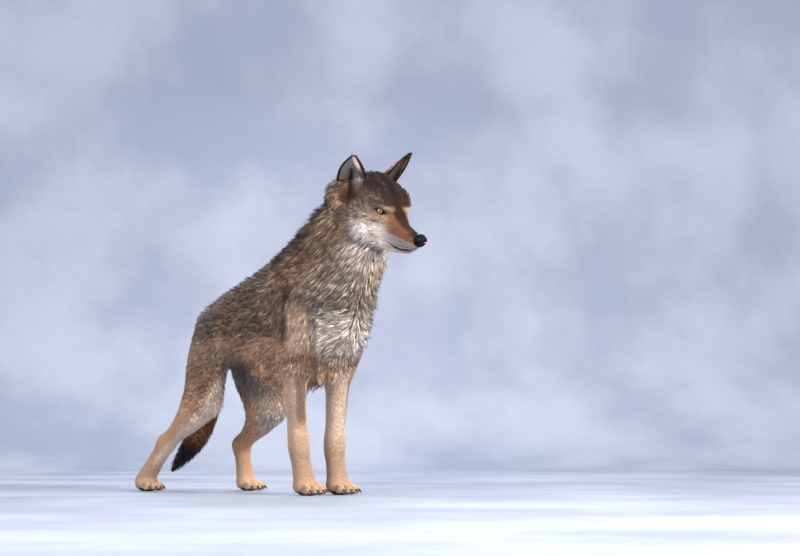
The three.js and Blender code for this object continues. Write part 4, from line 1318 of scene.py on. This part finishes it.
class Nodes:
    """A short way to write node materials."""

    def __init__(self, name):
        self.material = bpy.data.materials.new(name)
        self.material.use_nodes = True
        self.tree = self.material.node_tree
        self.surface = next(n for n in self.tree.nodes if n.type == "BSDF_PRINCIPLED")

    def add(self, kind, inputs=(), **settings):
        node = self.tree.nodes.new("ShaderNode" + kind)
        for key, value in settings.items():
            setattr(node, key, value)
        for key, value in dict(inputs).items():
            self.put(node, key, value)
        return node

    def put(self, node, key, value):
        if isinstance(value, bpy.types.NodeSocket):
            self.tree.links.new(value, node.inputs[key])
        else:
            node.inputs[key].default_value = value

    def attribute(self, name, output="Color"):
        return self.add("Attribute", attribute_name=name).outputs[output]

    def ramp(self, value, low, high):
        inputs = {"Value": value, "From Min": low, "From Max": high}
        return self.add("MapRange", inputs, interpolation_type="SMOOTHSTEP").outputs["Result"]

    def blend(self, share, a, b, how="MIX"):
        node = self.add("Mix", data_type="RGBA", blend_type=how)
        for key, value in ((0, share), (6, a), (7, b)):
            self.put(node, key, value)
        return node.outputs[2]

    def noise(self, scale, detail=2.0, stretch=(1, 1, 1)):
        place = self.add("TexCoord").outputs["Object"]
        place = self.add("Mapping", {"Vector": place, "Scale": stretch}).outputs["Vector"]
        return self.add("TexNoise", {"Vector": place, "Scale": scale, "Detail": detail}).outputs["Fac"]

    def bump(self, height, strength, distance):
        node = self.add("Bump", {"Height": height, "Strength": strength, "Distance": distance})
        self.put(self.surface, "Normal", node.outputs["Normal"])

    def finish(self, **values):
        for key, value in values.items():
            self.put(self.surface, key.replace("_", " "), value)
        return self.material


def rgba(*rgb):
    """A display colour from 0 to 255 as a node's value."""
    return (*(float(v) for v in colour(*rgb)), 1.0)


def coat_material():
    m = Nodes("coat_hair")
    band, tips, along = m.attribute("tint"), m.attribute("tips"), m.attribute("along", "Fac")
    # the roots darker: partly the darker underfur, partly painted shade deep in the coat
    root = m.blend(1.0, band, (0.52, 0.50, 0.50, 1), "MULTIPLY")
    shade = m.blend(m.ramp(along, 0.0, 0.42), root, band)
    shade = m.blend(m.ramp(along, 0.5, 0.88), shade, tips)
    grain = m.blend(m.ramp(m.noise(420.0), 0.3, 0.7), (0.0, 0.0, 0.0, 1), (0.35, 0.35, 0.35, 1))
    shade = m.blend(grain, shade, (1, 0.95, 0.9, 1), "SOFT_LIGHT")
    m.put(m.surface, "Base Color", shade)
    m.bump(m.noise(900.0), 0.25, 0.0006)
    return m.finish(Roughness=0.58, Specular_IOR_Level=0.28)


def skin_material():
    m = Nodes("coat_under")
    band, tips, wet = m.attribute("tint"), m.attribute("tips"), m.attribute("along", "Fac")
    fine, coarse = m.noise(620.0, 4.0), m.noise(160.0, 3.0)
    shade = m.blend(m.ramp(fine, 0.42, 0.66), band, tips)
    shade = m.blend(m.ramp(coarse, 0.3, 0.7), m.blend(1.0, shade, (0.7, 0.69, 0.68, 1), "MULTIPLY"), shade)
    m.put(m.surface, "Base Color", shade)
    m.bump(m.blend(0.5, fine, coarse), 0.7, 0.0016)
    rough = m.add("MapRange", {"Value": wet, "To Min": 0.75, "To Max": 0.32}).outputs["Result"]
    return m.finish(Roughness=rough, Specular_IOR_Level=0.3)


def leather_material():
    m = Nodes("nose_leather")
    cells = m.add("TexVoronoi", {"Vector": m.add("TexCoord").outputs["Object"], "Scale": 720.0},
                  feature="DISTANCE_TO_EDGE").outputs["Distance"]
    mottled = m.ramp(m.noise(140.0, 3.0), 0.35, 0.7)
    m.put(m.surface, "Base Color", m.blend(mottled, rgba(2, 2, 3), rgba(6, 6, 8)))
    m.bump(m.ramp(cells, 0.0, 0.12), 0.5, 0.0004)
    return m.finish(Roughness=0.42, Specular_IOR_Level=0.14)


def eye_material():
    m = Nodes("eye_amber")
    m.put(m.surface, "Base Color", m.attribute("tint"))
    return m.finish(Roughness=0.12, Coat_Weight=1.0, Coat_Roughness=0.02)


def horn_material():
    m = Nodes("claw_horn")
    bands = m.ramp(m.noise(260.0, 3.0, (0.3, 1, 1)), 0.3, 0.75)
    m.put(m.surface, "Base Color", m.blend(bands, rgba(34, 29, 27), rgba(92, 80, 70)))
    m.bump(m.noise(500.0, 2.0, (0.3, 1, 1)), 0.3, 0.0003)
    return m.finish(Roughness=0.35, Specular_IOR_Level=0.45)


# ---------------------------------------------------------------- eyes, nose, claws, whiskers

def bands(start, rows, turns):
    """The faces between rings of corners."""
    return [(start + r * turns + i, start + (r + 1) * turns + i,
             start + (r + 1) * turns + (i + 1) % turns, start + r * turns + (i + 1) % turns)
            for r in range(rows) for i in range(turns)]


def amber(radius, angle):
    """Colours across the front of an eye, from the pupil out."""
    rays = 0.5 + 0.5 * np.sin(angle * 23 + 2 * np.sin(angle * 7)) * np.sin(angle * 11 + 1)
    iris = mix(colour(190, 140, 62), colour(222, 182, 112), (0.35 + 0.5 * rays)[:, None])
    iris = mix(colour(120, 76, 30), iris, soft(radius, 2.6, 4.2)[:, None])
    iris = mix(iris, colour(44, 26, 14), soft(radius, 6.6, 7.9)[:, None])
    out = mix(colour(8, 7, 8), iris, soft(radius, 2.5, 2.9)[:, None])
    return mix(out, colour(60, 42, 34), soft(radius, 8.3, 9.2)[:, None])


def build_eye(name, s, material):
    """A ball with a cornea that stands out, its rows of corners closest together at the front."""
    turns, rows = 96, 64
    theta = np.pi * (np.arange(rows + 1) / rows) ** 1.5
    phi = np.linspace(0, 2 * np.pi, turns, endpoint=False)
    t, f = (a.ravel() for a in np.meshgrid(theta, phi, indexing="ij"))
    q = EYE_RADIUS * np.stack([np.cos(t), np.sin(t) * np.cos(f), np.sin(t) * np.sin(f)], axis=1)
    radius = np.hypot(q[:, 1], q[:, 2])
    front = q[:, 0] > 0
    q[:, 0] += 0.9 * soft(-radius, -8.5, -3) * front
    local = q @ gaze(s).T + eye_place(s)
    faces = bands(0, rows, turns)
    piece = mesh_object(name, from_head(local), faces, material)
    painted(piece.data, "tint", np.where(front[:, None], amber(radius, f), colour(60, 42, 34)))
    with opened(piece.data) as work:
        bmesh.ops.remove_doubles(work, verts=work.verts, dist=1e-6)
        bmesh.ops.recalc_face_normals(work, faces=work.faces)
    return piece


NOSTRILS = (((153.5, 9.6, -50.5), (8, 3.8, 3.4)), ((150, 14, -52.5), (8, 4, 2.4)),
            ((145.5, 18.8, -55), (8, 5, 1.7)))


def nose_field(local):
    """A pad with two wings, nostrils that run out into slits, a groove down the middle and a flat front."""
    def ball(place, radii):
        return ellipsoid(local - vec(*place), vec(*radii))[0]

    d = ball(NOSE, (16, 21, 20))
    for s in SIDES.values():
        d = smin(d, ball((145.5, 9 * s, -50), (8.2, 9, 9.5)), 4)
        d = smin(d, ball((141, 14 * s, -47), (9, 7, 8)), 5)
    for s in SIDES.values():
        for place, radii in NOSTRILS:
            d = smax(d, -ball(place * vec(1, s, 1), radii), 1.5)
    x, y, z = local.T
    d = d + 1.0 * np.exp(-(y / 1.3) ** 2) * soft(x, 140, 148) * soft(-z, 40, 48)
    return smax(d, x - 152.6, 2)


def build_nose(material):
    axes = [np.arange(120, 160, 0.8), np.arange(-26, 26.5, 0.8), np.arange(-74, -26, 0.8)]
    values = nose_field(lattice(axes)).reshape([len(a) for a in axes])
    points, faces = nets(axes, values)
    return mesh_object("nose_pad", within_box(from_head(points)), faces, material)


def build_claws(material):
    """Sixteen horn hooks, one ahead of each toe."""
    sides, rings, reach = 12, 9, 21.5
    points, faces = [], []
    for _, _, foot, scale in paws():
        for place in TOES:
            axes, start = turned(yaw=place * 5), len(points)
            for t in np.arange(rings) / (rings - 1):
                bend = math.radians(8 + 34 * t)
                droop = bend * 0.75
                middle = vec(15 + reach * t * math.cos(droop), 0, 1.5 - reach * t * math.sin(droop)) * scale
                thick = 4.1 * scale * (1 - t ** 1.6) ** 0.8 + 0.25
                for a in 2 * math.pi * np.arange(sides) / sides:
                    off = vec(math.sin(bend) * math.sin(a), 0.78 * math.cos(a), math.cos(bend) * math.sin(a))
                    points.append(toe_place(foot, place, scale) + axes @ (middle + off * thick))
            faces += bands(start, rings - 1, sides)
            faces.append(tuple(range(start, start + sides))[::-1])
            faces.append(tuple(range(len(points) - sides, len(points))))
    points = np.array(points)
    points[:, 2] = np.maximum(points[:, 2], 0.5)
    piece = mesh_object("claws", points, faces, material)
    with opened(piece.data) as work:
        bmesh.ops.recalc_face_normals(work, faces=work.faces)
    return piece


def whisker_faces():
    """One whisker's faces: three rings of three corners, and a tip."""
    faces = [(0, 1, 2)]
    for r in (0, 3):
        for i in range(3):
            j = (i + 1) % 3
            faces += [(r + i, r + 3 + j, r + j), (r + i, r + 3 + i, r + 3 + j)]
    return np.array(faces + [(6 + i, 9, 6 + (i + 1) % 3) for i in range(3)])


def build_whiskers(skin, material):
    """Stiff hairs in rows on the muzzle's sides, and a few over each eye."""
    points, _, normal = read(skin.data)
    local, out = to_head(points), normal @ HEAD_AXES
    spots = [(x, z, 46 + 0.25 * (118 - x)) for x in (72, 82, 92, 102, 112) for z in (-63, -70, -77)]
    spots += [(4, 36, 26), (10, 33, 24), (-3, 38, 28)]
    hair = whisker_faces()
    co, faces, along, roots = [], [], [], []
    for s in SIDES.values():
        for x, z, length in spots:
            wrong_side = (local[:, 1] * s < 4) * 1 + (out[:, 1] * s < 0.1)
            k = int(np.argmin((local[:, 0] - x) ** 2 + (local[:, 2] - z) ** 2 + 400 * wrong_side))
            way = vec(-0.25, 0.9 * s, -0.18) if x > 20 else vec(0.2, 0.9 * s, 0.7)
            way = unit(way + 0.12 * RNG.standard_normal(3))
            length = length * RNG.uniform(0.8, 1.15)
            start = len(co)
            for t in (0.0, 0.35, 0.7):
                middle = local[k] - out[k] + way * length * t + vec(-0.5, 0, -0.3) * length * t * t * 0.5
                thick = 0.28 * (1 - 0.75 * t)
                for i in range(3):
                    a = 2 * math.pi * i / 3
                    co.append(middle + vec(math.cos(a), 0, math.sin(a)) * thick)
                    along.append(t)
            co.append(local[k] + way * length + vec(-0.25, 0, -0.15) * length)
            along.append(1.0)
            faces.append(start + (hair if s > 0 else hair[:, [0, 2, 1]]))
            roots += [head(*local[k])] * (len(co) - start)
    co = from_head(np.array(co))
    shade = np.tile(colour(120, 110, 104), (len(co), 1))
    uv = root_map(np.array(roots)) + PATCH * (np.array(along)[:, None] - 0.5) * vec(0.3, 1)
    return hair_mesh("whiskers", co, shade, shade, np.array(along), uv, np.concatenate(faces), material)


def paint_skin(piece, material):
    """The coat's markings and painted light on the skin, with dark lids, lips and soles."""
    points, _, normal = read(piece.data)
    local = to_head(points)
    paint = markings_with_painted_light(points)
    rim = edge_of_ear(points) * (on_ear(points)[0] != 0)
    band = mix(paint.band * 0.82, COAL, rim[:, None])
    tip = mix(paint.tip, paint.band * 0.6, 0.45)
    lids = soft(slit(local), -4.2, -2.2)
    sole = soft(-normal[:, 2], 0.3, 0.7) * (points[:, 2] < 14)
    wet = np.maximum.reduce([lids, lips(local, 0.2, 2.6, 4.6), sole])[:, None]
    band, tip = mix(band, BLACK, wet), mix(tip, COAL * 0.7, wet)
    painted(piece.data, "tint", band)
    painted(piece.data, "tips", tip)
    attached(piece.data, "along", wet[:, 0])
    piece.data.materials.append(material)


# ---------------------------------------------------------------- stage, light and camera

def build_stage():
    """A floor that curves up into a wall behind the wolf, square to the camera."""
    side, front, back, high, curve = 9000, -3500, 5200, 5200, 1200
    rows = []
    for k in range(25):
        t = k / 24
        if t < 0.5:
            rows.append((mix(front, back - curve, t * 2), 0))
        else:
            a = (t - 0.5) * math.pi
            rows.append((back - curve + curve * math.sin(a), curve - curve * math.cos(a)))
    rows.append((back, high))
    a = math.radians(180 - THETA)
    away, along = vec(math.cos(a), math.sin(a), 0), vec(-math.sin(a), math.cos(a), 0)
    points = [away * d + along * w + vec(0, 0, z) for d, z in rows for w in (-side, side)]
    faces = [(2 * i, 2 * i + 1, 2 * i + 3, 2 * i + 2) for i in range(len(rows) - 1)]
    floor = mesh_object("snow_ground", np.array(points), faces)
    m = Nodes("snow")
    drift = m.ramp(m.noise(1.3, 4.0), 0.3, 0.7)
    m.put(m.surface, "Base Color", m.blend(drift, rgba(150, 156, 172), rgba(178, 182, 194)))
    m.bump(m.noise(14.0, 5.0), 0.25, 0.02)
    floor.data.materials.append(m.finish(Roughness=0.7, Specular_IOR_Level=0.2))


THETA, AWAY, EYE_LEVEL, FOCAL = 38.0, 6.0, 0.18, 1980.0     # degrees from ahead, metres, metres, pixels
WIDE, TALL = 800, 556
FLOOR_PIXEL, SIDE_PIXEL = 495.0, 323.0                      # where the origin stands in the picture


def build_camera():
    """Looks so that the model's origin falls on the photo's pixel for it."""
    t = math.radians(THETA)
    place = vec(AWAY * math.cos(t), -AWAY * math.sin(t), EYE_LEVEL)
    ahead, right, up = vec(-math.cos(t), math.sin(t), 0), vec(math.sin(t), math.cos(t), 0), vec(0, 0, 1)
    a = -math.atan2(SIDE_PIXEL - WIDE / 2, FOCAL)
    ahead, right = ahead * math.cos(a) + right * math.sin(a), right * math.cos(a) - ahead * math.sin(a)
    p = math.atan((FLOOR_PIXEL - TALL / 2) / FOCAL) - math.atan2(EYE_LEVEL, AWAY)
    ahead, up = ahead * math.cos(p) + up * math.sin(p), up * math.cos(p) - ahead * math.sin(p)
    camera = linked("camera", bpy.data.cameras.new("camera"))
    camera.data.sensor_width, camera.data.lens = 36.0, FOCAL / WIDE * 36.0
    camera.data.clip_end = 60
    matrix = np.eye(4)
    matrix[:3, 0], matrix[:3, 1], matrix[:3, 2], matrix[:3, 3] = right, up, -ahead, place + SHIFT * MM
    camera.matrix_world = Matrix(matrix.tolist())
    bpy.context.scene.camera = camera


def lamp(name, place, target, size, power, tint):
    light = bpy.data.lights.new(name, "AREA")
    light.shape, light.size, light.energy, light.color = "DISK", size, power, tint
    piece = linked(name, light)
    piece.location = Vector(place)
    piece.rotation_euler = (Vector(target) - Vector(place)).to_track_quat("-Z", "Y").to_euler()


def build_light():
    world = bpy.data.worlds.new("sky")
    world.use_nodes = True
    world.node_tree.nodes["Background"].inputs["Color"].default_value = (0.80, 0.86, 1.0, 1)
    world.node_tree.nodes["Background"].inputs["Strength"].default_value = 0.85
    bpy.context.scene.world = world
    lamp("key", (5.2, 0.9, 1.9), (0.0, 0, 0.5), 2.0, 480, (1.0, 0.96, 0.91))
    lamp("fill", (0.8, -4.8, 2.4), (-0.1, 0, 0.5), 3.0, 170, (0.96, 0.96, 1.0))
    lamp("rim", (-3.0, 2.6, 3.6), (0, 0, 0.6), 2.0, 120, (0.95, 0.97, 1.0))


# ---------------------------------------------------------------- the whole wolf

skin, guide = build_skin()
coat = coat_pieces(build_coat(skin, guide), coat_material())
paint_skin(skin, skin_material())
SKIN_NODES = [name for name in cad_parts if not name.startswith(("eye", "nose", "claw"))]
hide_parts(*SKIN_NODES)
iris = eye_material()
eyes = []
for side_name, s in SIDES.items():
    eye = build_eye(f"eyeball_{side_name}", s, iris)
    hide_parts(f"eye_{side_name}")
    eyes.append(eye)
nose = build_nose(leather_material())
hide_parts("nose")
claws = build_claws(horn_material())
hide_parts(*[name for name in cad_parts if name.startswith("claw")])
whiskers = build_whiskers(skin, coat[0].data.materials[0])
for piece in [skin, *coat, *eyes, nose, claws, whiskers]:
    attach(piece, "root")

build_stage()
build_light()
build_camera()
bpy.context.scene.view_settings.view_transform = "Standard"
